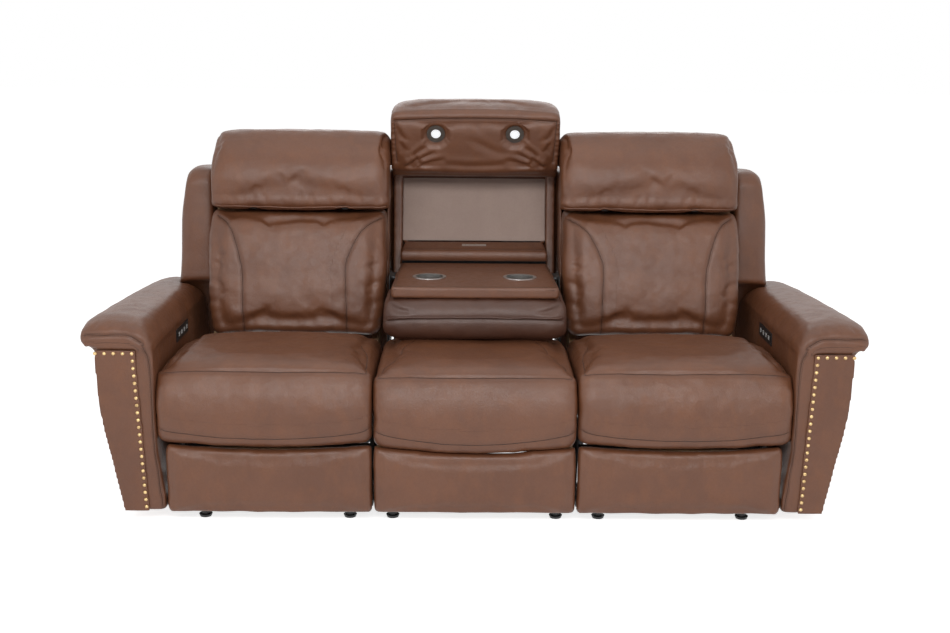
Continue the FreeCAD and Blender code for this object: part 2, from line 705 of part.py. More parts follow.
def lift_links():
    knee = knee_point()
    parts = []
    for face, direction in link_sides():
        x0, x1 = span(face, direction, LIFT_NEAR, LIFT_NEAR + LINK_THICK)
        parts.append(link(x0, x1, (LIFT_Y, LIFT_Z), knee, LINK_PIN_R + PIN_CLEAR))
    inner = span(*link_sides()[0], LIFT_NEAR, LIFT_NEAR + LINK_THICK)
    outer = span(*link_sides()[1], LIFT_NEAR, LIFT_NEAR + LINK_THICK)
    share = 0.3
    tube_y = LIFT_Y + (knee[0] - LIFT_Y) * share
    tube_z = LIFT_Z + (knee[1] - LIFT_Z) * share
    tube = cyl_x(9.0, inner[0], outer[1], tube_y, tube_z)
    return join(parts + [tube])


def reach_links():
    knee = knee_point()
    parts = []
    for face, direction in link_sides():
        x0, x1 = span(face, direction, REACH_NEAR, REACH_NEAR + LINK_THICK)
        arm = link(x0, x1, knee, (FOOT_Y, FOOT_Z), LINK_PIN_R + PIN_CLEAR)
        p0, p1 = span(face, direction, LIFT_NEAR - 1.0, REACH_NEAR + LINK_THICK + 1.0)
        pin = cyl_x(LINK_PIN_R, p0, p1, *knee)
        h0, h1 = span(face, direction, REACH_NEAR + LINK_THICK, REACH_NEAR + LINK_THICK + 1.0)
        head = cyl_x(LINK_PIN_R + 3.0, h0, h1, *knee)
        parts.append(join([arm.fuse(cyl_x(LINK_PIN_R + 1.0, x0, x1, *knee)), pin, head]))
    return Part.makeCompound(parts)


def footrest_board():
    """Plywood back of the footrest with a lug on each reach link."""
    y1 = PANEL_FRONT_Y + PANEL_THICK + CLEAR + BOARD_THICK
    board = box(SEAT_SPLIT_X + 12.0, ARM_FOOT_INNER_X - 14.0, y1 - BOARD_THICK, y1, PANEL_BOTTOM + 14.0, 222.0)
    parts = [board]
    for face, direction in link_sides():
        x0, x1 = span(face, direction, REACH_NEAR + LINK_THICK + 1.5, REACH_NEAR + LINK_THICK + 5.5)
        parts.append(slab_x(x0, x1, (y1, FOOT_Z - 30.0), (y1, FOOT_Z + 30.0), (FOOT_Y + 10.0, FOOT_Z + 12.0), (FOOT_Y + 10.0, FOOT_Z - 12.0)))
        p0, p1 = span(face, direction, REACH_NEAR - 1.5, REACH_NEAR + LINK_THICK + 5.5)
        parts.append(cyl_x(LINK_PIN_R, p0, p1, FOOT_Y, FOOT_Z))
    return join(parts)


def footrest_pad():
    return front_panel_shape(SEAT_SPLIT_X + 2.0, ARM_FOOT_INNER_X - 3.0, LIP_Z, PANEL_FRONT_Y, PANEL_THICK)


def mechanism_plate(x0, into):
    """Side plate of a recliner with its lift pin and recline pin pointing into the seat."""
    x1 = x0 + PLATE_THICK
    plate = slab_x(
        x0, x1,
        (LIFT_Y - 40.0, RAIL_TOP + 0.2),
        (LIFT_Y - 40.0, SEAT_CUSHION_BOTTOM - DECK_THICK - 4.0),
        (RECLINE_Y - 34.0, SEAT_CUSHION_BOTTOM - DECK_THICK - 4.0),
        (RECLINE_Y - 28.0, RECLINE_Z + 12.0),
        ((RECLINE_Y, RECLINE_Z + 30.0), (RECLINE_Y + 28.0, RECLINE_Z + 12.0)),
        (RECLINE_Y + 28.0, 210.0),
        (RECLINE_Y + 10.0, RAIL_TOP + 0.2),
    )
    face = x1 if into > 0 else x0
    l0, l1 = span(face, into, -1.0, LIFT_NEAR + LINK_THICK + 1.0)
    lift_pin = cyl_x(LINK_PIN_R, l0, l1, LIFT_Y, LIFT_Z)
    reach = 40.0 if into > 0 else 46.0
    r0, r1 = span(face, into, -1.0, reach)
    recline_pin = cyl_x(10.0, r0, r1, RECLINE_Y, RECLINE_Z)
    return join([plate, lift_pin, recline_pin])


def footrest_motor():
    """Linear actuator under an outer seat: gearmotor on its rail, carried by the cross tubes."""
    x = 600.0
    seat_z = RAIL_TOP + 0.2
    motor = box(x - 38.0, x + 38.0, 60.0, 130.0, 96.0, 160.0)
    motor = motor.makeFillet(10.0, [e for e in motor.Edges if abs(e.Vertexes[0].Y - e.Vertexes[-1].Y) > 20])
    can = bar(26.0, V(x, 40.0, 185.0), V(x, 130.0, 185.0))
    neck = box(x - 20.0, x + 20.0, 62.0, 128.0, 150.0, 190.0)
    rail = box(x - 14.0, x + 14.0, RAIL_FRONT_Y + 12.0, 62.0, 112.0, 140.0)
    rear_arm = box(x - 16.0, x + 16.0, 128.0, RAIL_REAR_Y - 8.0, 96.0, 124.0)
    rear_bracket = box(x - 16.0, x + 16.0, RAIL_REAR_Y - 20.0, RAIL_REAR_Y - 8.0, seat_z, 124.0)
    front_bracket = box(x - 16.0, x + 16.0, RAIL_FRONT_Y + 4.0, RAIL_FRONT_Y + 16.0, FRONT_BAR_TOP + 0.2, 140.0)
    return join([motor, can, neck, rail, rear_arm, rear_bracket, front_bracket])


# Common base

def base_rails():
    parts = []
    outer = (MECH_OUTER_X - 5.0, ARM_FOOT_INNER_X - CLEAR)
    inner = (303.0, MECH_INNER_X + 5.0)
    middle = (264.0, 294.0)
    rails = [outer, inner, middle]
    rails += [(-x1, -x0) for x0, x1 in rails]
    for x0, x1 in rails:
        parts.append(box(x0, x1, RAIL_FRONT_Y, RAIL_REAR_Y, GLIDE_HEIGHT, RAIL_TOP))
    bays = [(inner[1], outer[0]), (-outer[0], -inner[1]), (-middle[0], middle[0])]
    for x0, x1 in bays:
        for y, top in ((RAIL_FRONT_Y, FRONT_BAR_TOP), (RAIL_REAR_Y - RAIL_WIDTH, RAIL_TOP)):
            parts.append(box(x0, x1, y, y + RAIL_WIDTH, GLIDE_HEIGHT, top))
    for x0, x1 in ((-inner[0], -middle[1]), (middle[1], inner[0])):
        for y in (RAIL_FRONT_Y + 40.0, RAIL_REAR_Y - 60.0):
            parts.append(box(x0, x1, y, y + 20.0, GLIDE_HEIGHT + 4.0, RAIL_TOP - 4.0))
    return join(parts)


def floor_glides():
    parts = []
    for x in (-807.0, -373.0, -245.0, 245.0, 373.0, 807.0):
        for y in (RAIL_FRONT_Y + RAIL_WIDTH / 2.0, RAIL_REAR_Y - RAIL_WIDTH / 2.0):
            foot = Part.makeCone(GLIDE_RADIUS - 3.0, GLIDE_RADIUS, 8.0, V(x, y, 0))
            neck = Part.makeCylinder(GLIDE_RADIUS - 8.0, GLIDE_HEIGHT - 8.2, V(x, y, 8.0))
            parts.append(join([foot, neck]))
    return Part.makeCompound(parts)


# Middle section

def center_seat_sides():
    """Boards that carry the middle seat's deck and its front panel on the base rails."""
    top = SEAT_CUSHION_BOTTOM - DECK_THICK - 36.2
    front = PANEL_FRONT_Y + PANEL_THICK + CLEAR
    board_top = 205.0
    parts = [box(-292.0, 292.0, front, front + BOARD_THICK, PANEL_BOTTOM + 14.0, board_top)]
    for x in (-292.0, 274.0):
        parts.append(box(x, x + 18.0, front + BOARD_THICK, LIP_BACK_Y + 6.0, RAIL_TOP + 0.2, board_top))
        parts.append(box(x, x + 18.0, LIP_BACK_Y + 6.0, 70.0, RAIL_TOP + 0.2, top))
    return join(parts)


def seat_frames():
    seats = [seat_frame(SEAT_SPLIT_X + 15.0, MECH_OUTER_X - PLATE_THICK - 0.3)]
    seats.append(mirrored(seats[0]))
    middle = seat_frame(-SEAT_SPLIT_X + 8.0, SEAT_SPLIT_X - 8.0)
    return Part.makeCompound(seats + [middle, center_seat_sides()])


def center_back_frame():
    """Two posts with round tops, tied by a rail behind the liner and a rail at the foot."""
    r = FLIP_KNUCKLE_R
    posts = []
    for x0, x1 in ((-POST_OUTER_X, -POST_INNER_X), (POST_INNER_X, POST_OUTER_X)):
        post = slab_x(
            x0, x1,
            (345.0, RAIL_TOP + 0.2),
            (345.0, 590.0),
            (LINER_FOOT_Y - 11.0, LINER_FOOT_Z),
            (FLIP_Y - r, FLIP_Z - 22.0),
            (FLIP_Y - r, FLIP_Z),
            ((FLIP_Y - r * HALF_ROOT, FLIP_Z + r * HALF_ROOT), (FLIP_Y, FLIP_Z + r)),
            ((FLIP_Y + r * HALF_ROOT, FLIP_Z + r * HALF_ROOT), (FLIP_Y + r, FLIP_Z)),
            (shell_y(900.0) - SHELL_THICK - CLEAR, 900.0),
            (shell_y(RAIL_TOP) - SHELL_THICK - CLEAR, RAIL_TOP + 0.2),
        )
        posts.append(post)
    top_rail = box(-POST_INNER_X, POST_INNER_X, 452.0, 472.0, 862.0, 908.0)
    mid_rail = box(-POST_INNER_X, POST_INNER_X, 405.0, 425.0, 640.0, 690.0)
    low_rail = box(-POST_INNER_X, POST_INNER_X, 350.0, 372.0, 200.0, 250.0)
    tabs = []
    for x0, x1 in ((-POST_OUTER_X + 4.0, -POST_INNER_X), (POST_INNER_X, POST_OUTER_X - 4.0)):
        tabs.append(box(x0, x1, 428.0, 472.0, 862.0, 900.0))
        tabs.append(box(x0, x1, 400.0, 425.0, 640.0, 690.0))
        tabs.append(box(x0, x1, 150.0, 350.0, RAIL_TOP + 0.2, RAIL_TOP + 30.0))
    frame = join(posts + tabs + [top_rail, mid_rail, low_rail])
    return frame.cut(cyl_x(FLIP_PIN_R + PIN_CLEAR, -POST_OUTER_X - 1.0, POST_OUTER_X + 1.0, FLIP_Y, FLIP_Z))


def liner_y(z):
    return LINER_FOOT_Y + (z - LINER_FOOT_Z) * BACK_SLOPE


def recess_liner():
    half = POST_INNER_X - CLEAR
    return slab_x(
        -half, half,
        (liner_y(LINER_FOOT_Z), LINER_FOOT_Z),
        (liner_y(LINER_TOP_Z), LINER_TOP_Z),
        (liner_y(LINER_TOP_Z) + LINER_THICK, LINER_TOP_Z),
        (liner_y(LINER_FOOT_Z) + LINER_THICK, LINER_FOOT_Z),
    )


def lid_under(y):
    slope = (LID_REAR_TOP - LID_FRONT_TOP) / (LID_REAR_Y - LID_FRONT_Y)
    return LID_FRONT_TOP - LID_THICK + (y - LID_FRONT_Y) * slope


def console_box():
    """Open-topped storage box under the lid."""
    half = POST_INNER_X - CLEAR
    wall = 5.0
    rear = LID_REAR_Y + 1.0
    outer = slab_x(
        -half, half,
        (BOX_FRONT_Y, BOX_BOTTOM),
        (BOX_FRONT_Y, lid_under(BOX_FRONT_Y) - SOFT_GAP),
        (rear, lid_under(rear) - SOFT_GAP),
        (rear + 16.0, BOX_BOTTOM + 60.0),
        (rear + 16.0, BOX_BOTTOM),
    )
    inner = box(-half + wall, half - wall, BOX_FRONT_Y + wall, rear - wall, BOX_BOTTOM + wall, LID_REAR_TOP)
    return outer.cut(inner)


def box_lid():
    """Padded lid of the storage box with a rounded front edge, narrower at its rear edge."""
    front_low = LID_FRONT_TOP - LID_THICK
    slope = (LID_REAR_TOP - LID_FRONT_TOP) / (LID_REAR_Y - LID_FRONT_Y)
    body = slab_x(
        -LID_HALF_FRONT, LID_HALF_FRONT,
        (LID_FRONT_Y + 6.0, front_low),
        ((LID_FRONT_Y, front_low + 12.0), (LID_FRONT_Y, LID_FRONT_TOP - 14.0)),
        ((LID_FRONT_Y + 4.0, LID_FRONT_TOP - 2.5), (LID_FRONT_Y + 16.0, LID_FRONT_TOP + 16.0 * slope)),
        (LID_REAR_Y, LID_REAR_TOP),
        (LID_REAR_Y, LID_REAR_TOP - LID_THICK),
    )
    for side in (-1.0, 1.0):
        body = body.cut(prism(outline(
            in_xy(LID_FRONT_TOP - 60.0),
            (side * LID_HALF_FRONT, LID_FRONT_Y),
            (side * LID_HALF_REAR, LID_REAR_Y + 1.0),
            (side * (LID_HALF_FRONT + 20.0), LID_REAR_Y + 1.0),
            (side * (LID_HALF_FRONT + 20.0), LID_FRONT_Y),
        ), V(0, 0, 120.0)))
    for x0, x1 in ((-POST_INNER_X + CLEAR, -LID_HALF_REAR + 6.0), (LID_HALF_REAR - 6.0, POST_INNER_X - CLEAR)):
        body = body.fuse(cyl_x(LID_PIN_R, x0, x1, LID_REAR_Y, LID_REAR_TOP))
    return body.cut(lid_pull_shape(0.3))


def lid_pull_shape(grow):
    slope = math.degrees(math.atan2(LID_REAR_TOP - LID_FRONT_TOP, LID_REAR_Y - LID_FRONT_Y))
    strip = Part.makeBox(84.0 + 2 * grow, 11.0 + 2 * grow, 3.0 + grow, V(-42.0 - grow, -5.5 - grow, -2.0 - grow))
    strip.rotate(V(0, 0, 0), V(1, 0, 0), slope)
    share = 0.62
    strip.translate(V(0, LID_FRONT_Y + (LID_REAR_Y - LID_FRONT_Y) * share, LID_FRONT_TOP + (LID_REAR_TOP - LID_FRONT_TOP) * share))
    return strip


def console_table():
    """Leather-covered board, a little narrower at its rear, with steel arms down to the pivot."""
    z0 = TABLE_TOP - TABLE_THICK
    plan = outline(
        in_xy(z0),
        (-TABLE_FRONT_X + 12.0, TABLE_FRONT_Y),
        ((0.0, TABLE_FRONT_Y - 4.0), (TABLE_FRONT_X - 12.0, TABLE_FRONT_Y)),
        ((TABLE_FRONT_X - 3.5, TABLE_FRONT_Y + 3.5), (TABLE_FRONT_X, TABLE_FRONT_Y + 12.0)),
        (TABLE_REAR_X, TABLE_REAR_Y),
        (-TABLE_REAR_X, TABLE_REAR_Y),
        (-TABLE_FRONT_X, TABLE_FRONT_Y + 12.0),
        ((-TABLE_FRONT_X + 3.5, TABLE_FRONT_Y + 3.5), (-TABLE_FRONT_X + 12.0, TABLE_FRONT_Y)),
    )
    board = prism(plan, V(0, 0, TABLE_THICK))
    rim = [e for e in board.Edges if all(abs(v.Z - TABLE_TOP) < 0.1 for v in e.Vertexes)]
    board = board.makeFillet(6.0, rim)
    low = [e for e in board.Edges if all(abs(v.Z - z0) < 0.1 and v.Y < TABLE_FRONT_Y + 13.0 for v in e.Vertexes)]
    board = board.makeFillet(8.0, low)
    for x in (-CUP_X, CUP_X):
        board = board.cut(Part.makeCylinder(CUP_R + CUP_WALL + 0.3, TABLE_THICK + 4.0, V(x, CUP_Y, z0 - 2.0)))
        board = board.cut(Part.makeCylinder(CUP_RIM_R + 0.3, 3.0, V(x, CUP_Y, TABLE_TOP - 1.2)))
    arms = []
    for x0 in (-CONSOLE_ARM_X - CONSOLE_ARM_THICK, CONSOLE_ARM_X):
        x1 = x0 + CONSOLE_ARM_THICK
        arm = slab_x(x0, x1, (CONSOLE_Y - 18.0, CONSOLE_Z), ((CONSOLE_Y, CONSOLE_Z - 18.0), (CONSOLE_Y + 18.0, CONSOLE_Z)),
                     (215.0, z0 + 8.0), (215.0, TABLE_TOP - 8.0), (115.0, TABLE_TOP - 8.0), (107.0, z0 + 8.0))
        arm = arm.cut(cyl_x(CONSOLE_PIN_R + PIN_CLEAR, x0 - 1, x1 + 1, CONSOLE_Y, CONSOLE_Z))
        foot_x0, foot_x1 = (x0, -TABLE_REAR_X + 4.0) if x0 < 0 else (TABLE_REAR_X - 4.0, x1)
        foot = box(foot_x0, foot_x1, 125.0, 205.0, z0 + 8.0, z0 + 20.0)
        arms.append(join([arm, foot]))
    return join([board] + arms)


def console_cushion():
    """Middle back cushion lying face down under the table, piped round its middle."""
    top = TABLE_TOP - TABLE_THICK - CLEAR
    nose = 542.0
    round_width = 60.0
    wires = []
    for x, edge in stations(-CUSHION_X, CUSHION_X, round_width):
        pull = round_in(edge, round_width, 30.0)
        front = CUSHION_FRONT_Y + pull * 0.8 + 6.0 * (1.0 - arch(x, -CUSHION_X, CUSHION_X))
        wires.append(outline(
            in_yz(x),
            (CUSHION_REAR_Y - pull, nose - 30.0 + pull * 0.5),
            ((CUSHION_REAR_Y - pull - 1.0, nose), (CUSHION_REAR_Y - pull, nose + 42.0 - pull)),
            (CUSHION_REAR_Y - pull - 16.0, top - pull),
            (front + 42.0, top - pull),
            ((front + 10.0, nose + 46.0 - pull * 0.6), (front, nose)),
            ((front + 8.0, nose - 38.0 + pull * 0.4), (front + 46.0, CUSHION_BOTTOM + 8.0 + pull)),
            ((20.0, CUSHION_BOTTOM + pull), (CUSHION_REAR_Y - pull - 30.0, CUSHION_BOTTOM + 12.0 + pull)),
        ))
    body = loft(wires)
    for x in (-CUP_X, CUP_X):
        body = body.cut(Part.makeCylinder(CUP_R + CUP_WALL + 1.0, CUP_DEPTH, V(x, CUP_Y, TABLE_TOP - CUP_DEPTH - 2.0)))
    for x0 in (-CONSOLE_ARM_X - 30.0, CONSOLE_ARM_X - 2.0):
        body = body.cut(box(x0, x0 + 32.0, 80.0, 260.0, 400.0, 700.0))
    return body


def cup_holders():
    cups = []
    for x in (-CUP_X, CUP_X):
        z0 = TABLE_TOP - CUP_DEPTH
        outer = Part.makeCylinder(CUP_R + CUP_WALL, CUP_DEPTH, V(x, CUP_Y, z0))
        rim = Part.makeCylinder(CUP_RIM_R, 2.6, V(x, CUP_Y, TABLE_TOP - 1.0))
        rim = rim.makeFillet(1.2, [e for e in rim.Edges if e.Vertexes[0].Z > TABLE_TOP + 1.0])
        hole = Part.makeCylinder(CUP_R, CUP_DEPTH + 4.0, V(x, CUP_Y, z0 + CUP_WALL))
        cups.append(join([outer, rim]).cut(hole))
    return Part.makeCompound(cups)


def console_hinge_plates():
    """Fixed brackets beside the folded cushion, each with the pin that its arm turns on."""
    plates = []
    for side in (-1.0, 1.0):
        face = CONSOLE_ARM_X + CONSOLE_ARM_THICK + 1.0
        plate = slab_x(
            face, face + 4.0,
            (CONSOLE_Y - 30.0, RAIL_TOP + 0.2),
            (CONSOLE_Y - 20.0, CONSOLE_Z),
            ((CONSOLE_Y, CONSOLE_Z + 20.0), (CONSOLE_Y + 20.0, CONSOLE_Z)),
            (CONSOLE_Y + 40.0, 300.0),
            (CONSOLE_Y + 60.0, RAIL_TOP + 0.2),
        )
        pin = cyl_x(CONSOLE_PIN_R, CONSOLE_ARM_X - 1.5, face + 2.0, CONSOLE_Y, CONSOLE_Z)
        shape = join([plate, pin])
        plates.append(shape if side > 0 else mirrored(shape))
    return Part.makeCompound(plates)


def center_headrest():
    """Middle headrest flipped up: lamp face to the front, its former front face on top."""
    wires = []
    round_width = 36.0
    for x, edge in stations(-FLIP_HALF, FLIP_HALF, round_width):
        pull = round_in(edge, round_width, 26.0)
        crest = 1203.0 - 8.0 * (1.0 - arch(x, -FLIP_HALF, FLIP_HALF)) - pull
        seam = HEAD_SEAM_Z - 8.0 * (1.0 - arch(x, -FLIP_HALF, FLIP_HALF)) - pull * 0.3
        wires.append(outline(
            in_yz(x),
            (HEAD_CHIN_Y, HEAD_CHIN_Z),
            (HEAD_SEAM_Y, seam),
            ((HEAD_SEAM_Y - 6.0 + pull * 0.3, seam + 16.0), (HEAD_SEAM_Y + 8.0 + pull * 0.6, seam + 30.0)),
            ((316.0, crest), (428.0 - pull, crest - 34.0)),
            ((462.0 - pull, 1110.0), (462.0 - pull, 1030.0)),
            ((460.0 - pull, 990.0), (452.0 - pull, FLIP_Z + 2.0)),
            (430.0 - pull, FLIP_Z - 14.0),
            (400.0 - pull, 939.0),
            (304.0, 950.0),
        ))
    body = loft(wires)
    cheek = FLIP_KNUCKLE_R + 4.0
    for x0, x1 in ((-FLIP_HALF - 10.0, -POST_INNER_X + 1.5), (POST_INNER_X - 1.5, FLIP_HALF + 10.0)):
        body = body.cut(cyl_x(cheek, x0, x1, FLIP_Y, FLIP_Z))
        body = body.cut(box(x0, x1, FLIP_Y - cheek - 30.0, FLIP_Y + 60.0, FLIP_Z - 60.0, FLIP_Z))
        body = body.cut(slab_x(x0, x1, (FLIP_Y, FLIP_Z), (FLIP_Y + 60.0, FLIP_Z), (FLIP_Y + 60.0, FLIP_Z + 70.0)))
        chin = FLIP_Y - cheek + 3.0
        body = body.cut(slab_x(
            x0, x1,
            (chin - 60.0, FLIP_Z - 20.0),
            (chin - 60.0, FLIP_Z - 13.0),
            (chin, FLIP_Z + 11.0),
            (chin, FLIP_Z - 20.0),
        ))
    for x in (-POST_INNER_X, POST_INNER_X):
        body = body.cut(cyl_x(FLIP_PIN_R + PIN_CLEAR, x - 24.0, x + 24.0, FLIP_Y, FLIP_Z))
    for x in (-LAMP_X, LAMP_X):
        body = body.cut(lamp_cylinder(x, LAMP_R - 4.0, -14.0, 6.0, 0.4))
    return body


def lamp_cylinder(x, radius, start, end, grow):
    """Cylinder square to the lamp face; positive distances stand out of the face."""
    angle = math.radians(LAMP_TILT)
    outward = V(0, -math.sin(angle), math.cos(angle))
    base = V(x, LAMP_Y, LAMP_Z) + outward * (start - grow)
    return Part.makeCylinder(radius + grow, end - start + grow, base, outward)


def lamp_bezels():
    rings = []
    for x in (-LAMP_X, LAMP_X):
        can = lamp_cylinder(x, LAMP_R - 4.0, -13.0, LAMP_SEAT + 1.0, 0.0)
        rim = lamp_cylinder(x, LAMP_R, LAMP_SEAT, LAMP_SEAT + 4.0, 0.0)
        hole = lamp_cylinder(x, LENS_R + 0.3, -9.0, 10.0, 0.0)
        rings.append(join([can, rim]).cut(hole))
    return Part.makeCompound(rings)


def lamp_lenses():
    return Part.makeCompound([lamp_cylinder(x, LENS_R, -8.8, 2.5, 0.0) for x in (-LAMP_X, LAMP_X)])


def center_headrest_hinges():
    """Steel pins through the post tops into the headrest."""
    pins = []
    for side in (-1.0, 1.0):
        pin = cyl_x(FLIP_PIN_R, POST_INNER_X - 22.0, POST_OUTER_X - 1.0, FLIP_Y, FLIP_Z)
        pins.append(pin if side > 0 else mirrored(pin))
    return Part.makeCompound(pins)


def build():
    nodes = {}
    right = {
        "arm_body": arm_body(),
        "arm_pad": arm_pad(),
        "arm_front_panel": arm_front_panel(),
        "switch_panel": switch_panel(),
        "seat_cushion": seat_cushion(SEAT_SPLIT_X + SOFT_GAP, ARM_INNER_X - SOFT_GAP, SIDE_SEAM_Z, LIP_Z),
        "footrest_pad": footrest_pad(),
        "footrest_board": footrest_board(),
        "lift_links": lift_links(),
        "reach_links": reach_links(),
        "back_cushion": back_cushion(),
        "back_frame": back_frame(),
        "back_wing": wing(),
        "outside_back": outside_back(),
        "headrest": headrest(),
        "headrest_hinge": headrest_hinge(),
    }
    for name, y in zip(BUTTON_NAMES, BUTTON_Y):
        right[name] = button(y)
    for name, shape in right.items():
        nodes[name + "_right"] = shape
        nodes[name + "_left"] = mirrored(shape)
    plates = [mechanism_plate(MECH_INNER_X, 1.0), mechanism_plate(MECH_OUTER_X - PLATE_THICK, -1.0)]
    nodes["mechanism_plates"] = Part.makeCompound(plates + [mirrored(p) for p in plates])
    motor = footrest_motor()
    nodes["footrest_motors"] = Part.makeCompound([motor, mirrored(motor)])
    nodes["base_rails"] = base_rails()
    nodes["floor_glides"] = floor_glides()
    nodes["seat_frames"] = seat_frames()
    nodes["nailheads"] = nailheads()
    nodes["seat_cushion_center"] = seat_cushion(-SEAT_SPLIT_X + SOFT_GAP, SEAT_SPLIT_X - SOFT_GAP, MIDDLE_SEAM_Z, LIP_Z - 8.0)
    nodes["front_panel_center"] = front_panel_shape(
        -SEAT_SPLIT_X + 2.0, SEAT_SPLIT_X - 2.0, LIP_Z - 14.0, PANEL_FRONT_Y, PANEL_THICK)
    nodes["center_back_frame"] = center_back_frame()
    nodes["recess_liner"] = recess_liner()
    nodes["console_box"] = console_box()
    nodes["box_lid"] = box_lid()
    nodes["lid_pull"] = lid_pull_shape(0.0)
    nodes["console_table"] = console_table()
    nodes["console_cushion"] = console_cushion()
    nodes["cup_holders"] = cup_holders()
    nodes["console_hinge_plates"] = console_hinge_plates()
    nodes["center_headrest"] = center_headrest()
    nodes["lamp_bezels"] = lamp_bezels()
    nodes["lamp_lenses"] = lamp_lenses()
    nodes["center_headrest_hinges"] = center_headrest_hinges()
    nodes["outside_back_center"] = outside_panel(-POST_OUTER_X + SOFT_GAP, POST_OUTER_X - SOFT_GAP, 62.0, 945.0)
    return nodes


def main():
    os.makedirs("parts", exist_ok=True)
    for name, shape in sorted(build().items()):
        if not shape.isValid():
            print("not valid:", name)
        shape.exportStep("parts/" + name + ".step")
        size = shape.BoundBox
        print(f"{name:28s} solids {len(shape.Solids):3d} volume {shape.Volume / 1000.0:10.1f} cm3 "
              f"x {size.XMin:8.1f} {size.XMax:8.1f} y {size.YMin:7.1f} {size.YMax:7.1f} z {size.ZMin:7.1f} {size.ZMax:7.1f}")


main()
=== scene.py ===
# %% [markdown]
# A three-seat power reclining sofa in antiqued brown leather, with a drop-down console in the
# middle. The solid model is loaded first and never changed. Every padded or leather-covered piece
# is then made again over its solid, with more detail, and takes its place.

# %% Load the fixed frame
import math
import bpy
import numpy as np
from mathutils import Matrix, Vector, noise
from mathutils.bvhtree import BVHTree


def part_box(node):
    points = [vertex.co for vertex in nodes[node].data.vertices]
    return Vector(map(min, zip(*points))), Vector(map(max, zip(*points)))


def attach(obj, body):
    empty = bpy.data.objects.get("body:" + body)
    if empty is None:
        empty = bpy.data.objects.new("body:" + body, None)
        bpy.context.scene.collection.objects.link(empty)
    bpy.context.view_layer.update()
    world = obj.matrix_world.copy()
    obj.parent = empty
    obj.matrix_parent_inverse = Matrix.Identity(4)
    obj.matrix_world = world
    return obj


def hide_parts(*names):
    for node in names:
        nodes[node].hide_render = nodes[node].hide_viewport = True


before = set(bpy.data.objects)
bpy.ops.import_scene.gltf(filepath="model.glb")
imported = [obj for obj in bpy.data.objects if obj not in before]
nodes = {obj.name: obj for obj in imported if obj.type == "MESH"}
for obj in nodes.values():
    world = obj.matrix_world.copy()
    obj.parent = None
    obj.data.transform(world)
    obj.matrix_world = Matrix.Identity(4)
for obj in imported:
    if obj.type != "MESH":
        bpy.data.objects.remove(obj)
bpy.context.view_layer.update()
scene = bpy.context.scene

# %% [markdown]
# The photograph was taken from a little above seat-back height, on the middle of the sofa. A
# camera can be aimed with a constraint or with a rotation matrix. The matrix is used here, because
# the photograph is also turned by half a degree, and a matrix takes all three turns at once.

# %% The camera
CAMERA_PLACE = Vector((-0.0433, -4.1945, 1.42215))
CAMERA_DOWN = math.radians(12.07)
CAMERA_TO_RIGHT = math.radians(0.617)
CAMERA_ROLL = math.radians(0.503)
FOCAL_PIXELS = 1319.0
PHOTO_WIDTH = 950.0


def aim_camera():
    look = Vector((
        math.sin(CAMERA_TO_RIGHT) * math.cos(CAMERA_DOWN),
        math.cos(CAMERA_TO_RIGHT) * math.cos(CAMERA_DOWN),
        -math.sin(CAMERA_DOWN),
    ))
    right = look.cross(Vector((0.0, 0.0, 1.0))).normalized()
    up = right.cross(look)
    data = bpy.data.cameras.new("Camera")
    data.sensor_width = 36.0
    data.lens = FOCAL_PIXELS / PHOTO_WIDTH * data.sensor_width
    camera = bpy.data.objects.new("Camera", data)
    scene.collection.objects.link(camera)
    turn = Matrix((right, up, -look)).transposed().to_4x4() @ Matrix.Rotation(CAMERA_ROLL, 4, "Z")
    camera.matrix_world = Matrix.Translation(CAMERA_PLACE) @ turn
    scene.camera = camera
    return camera


camera = aim_camera()
print("lens", round(camera.data.lens, 2), "mm")

# %% [markdown]
# Studio light for furniture comes from very large soft boxes: a wide, low one in front whose
# reflection gives the broad pinkish sheen on the backs, a weaker one above, one at each side and one
# behind. Area lamps do the same here. The world is white where the camera, gloss or glass looks at
# it, and a softer grey where it lights the sofa, so that its white doesn't wash the colours out.

# %% Lamps, world and floor
def soft_box(name, place, target, width, height, power):
    data = bpy.data.lights.new(name, "AREA")
    data.shape = "RECTANGLE"
    data.size = width
    data.size_y = height
    data.energy = power
    lamp = bpy.data.objects.new(name, data)
    scene.collection.objects.link(lamp)
    lamp.location = place
    lamp.rotation_euler = (Vector(target) - Vector(place)).to_track_quat("-Z", "Y").to_euler()
    return lamp


SEAT_POINT = (0.0, 0.0, 0.55)
WORLD_LIGHT = 0.30
FLOOR_GREY = 0.86
FLOOR_GLOW = 0.78
soft_box("Key", (-0.2, -3.7, 2.45), (0.0, 0.0, 0.7), 3.8, 0.9, 84.0)
soft_box("Top", (0.0, -0.4, 3.4), SEAT_POINT, 3.0, 1.4, 13.0)
soft_box("Left_fill", (-3.4, -1.6, 1.5), SEAT_POINT, 1.6, 2.0, 10.0)
soft_box("Right_fill", (3.4, -1.6, 1.5), SEAT_POINT, 1.6, 2.0, 10.0)
soft_box("Back_fill", (0.0, 3.6, 2.4), SEAT_POINT, 3.0, 1.6, 20.0)


def shows_ground(tree):
    """1 for camera, gloss and glass rays, and 0 for the rays that light the sofa."""
    path = tree.nodes.new("ShaderNodeLightPath")
    first = tree.nodes.new("ShaderNodeMath")
    first.operation = "MAXIMUM"
    tree.links.new(path.outputs["Is Camera Ray"], first.inputs[0])
    tree.links.new(path.outputs["Is Glossy Ray"], first.inputs[1])
    both = tree.nodes.new("ShaderNodeMath")
    both.operation = "MAXIMUM"
    tree.links.new(first.outputs[0], both.inputs[0])
    tree.links.new(path.outputs["Is Transmission Ray"], both.inputs[1])
    return both.outputs[0]


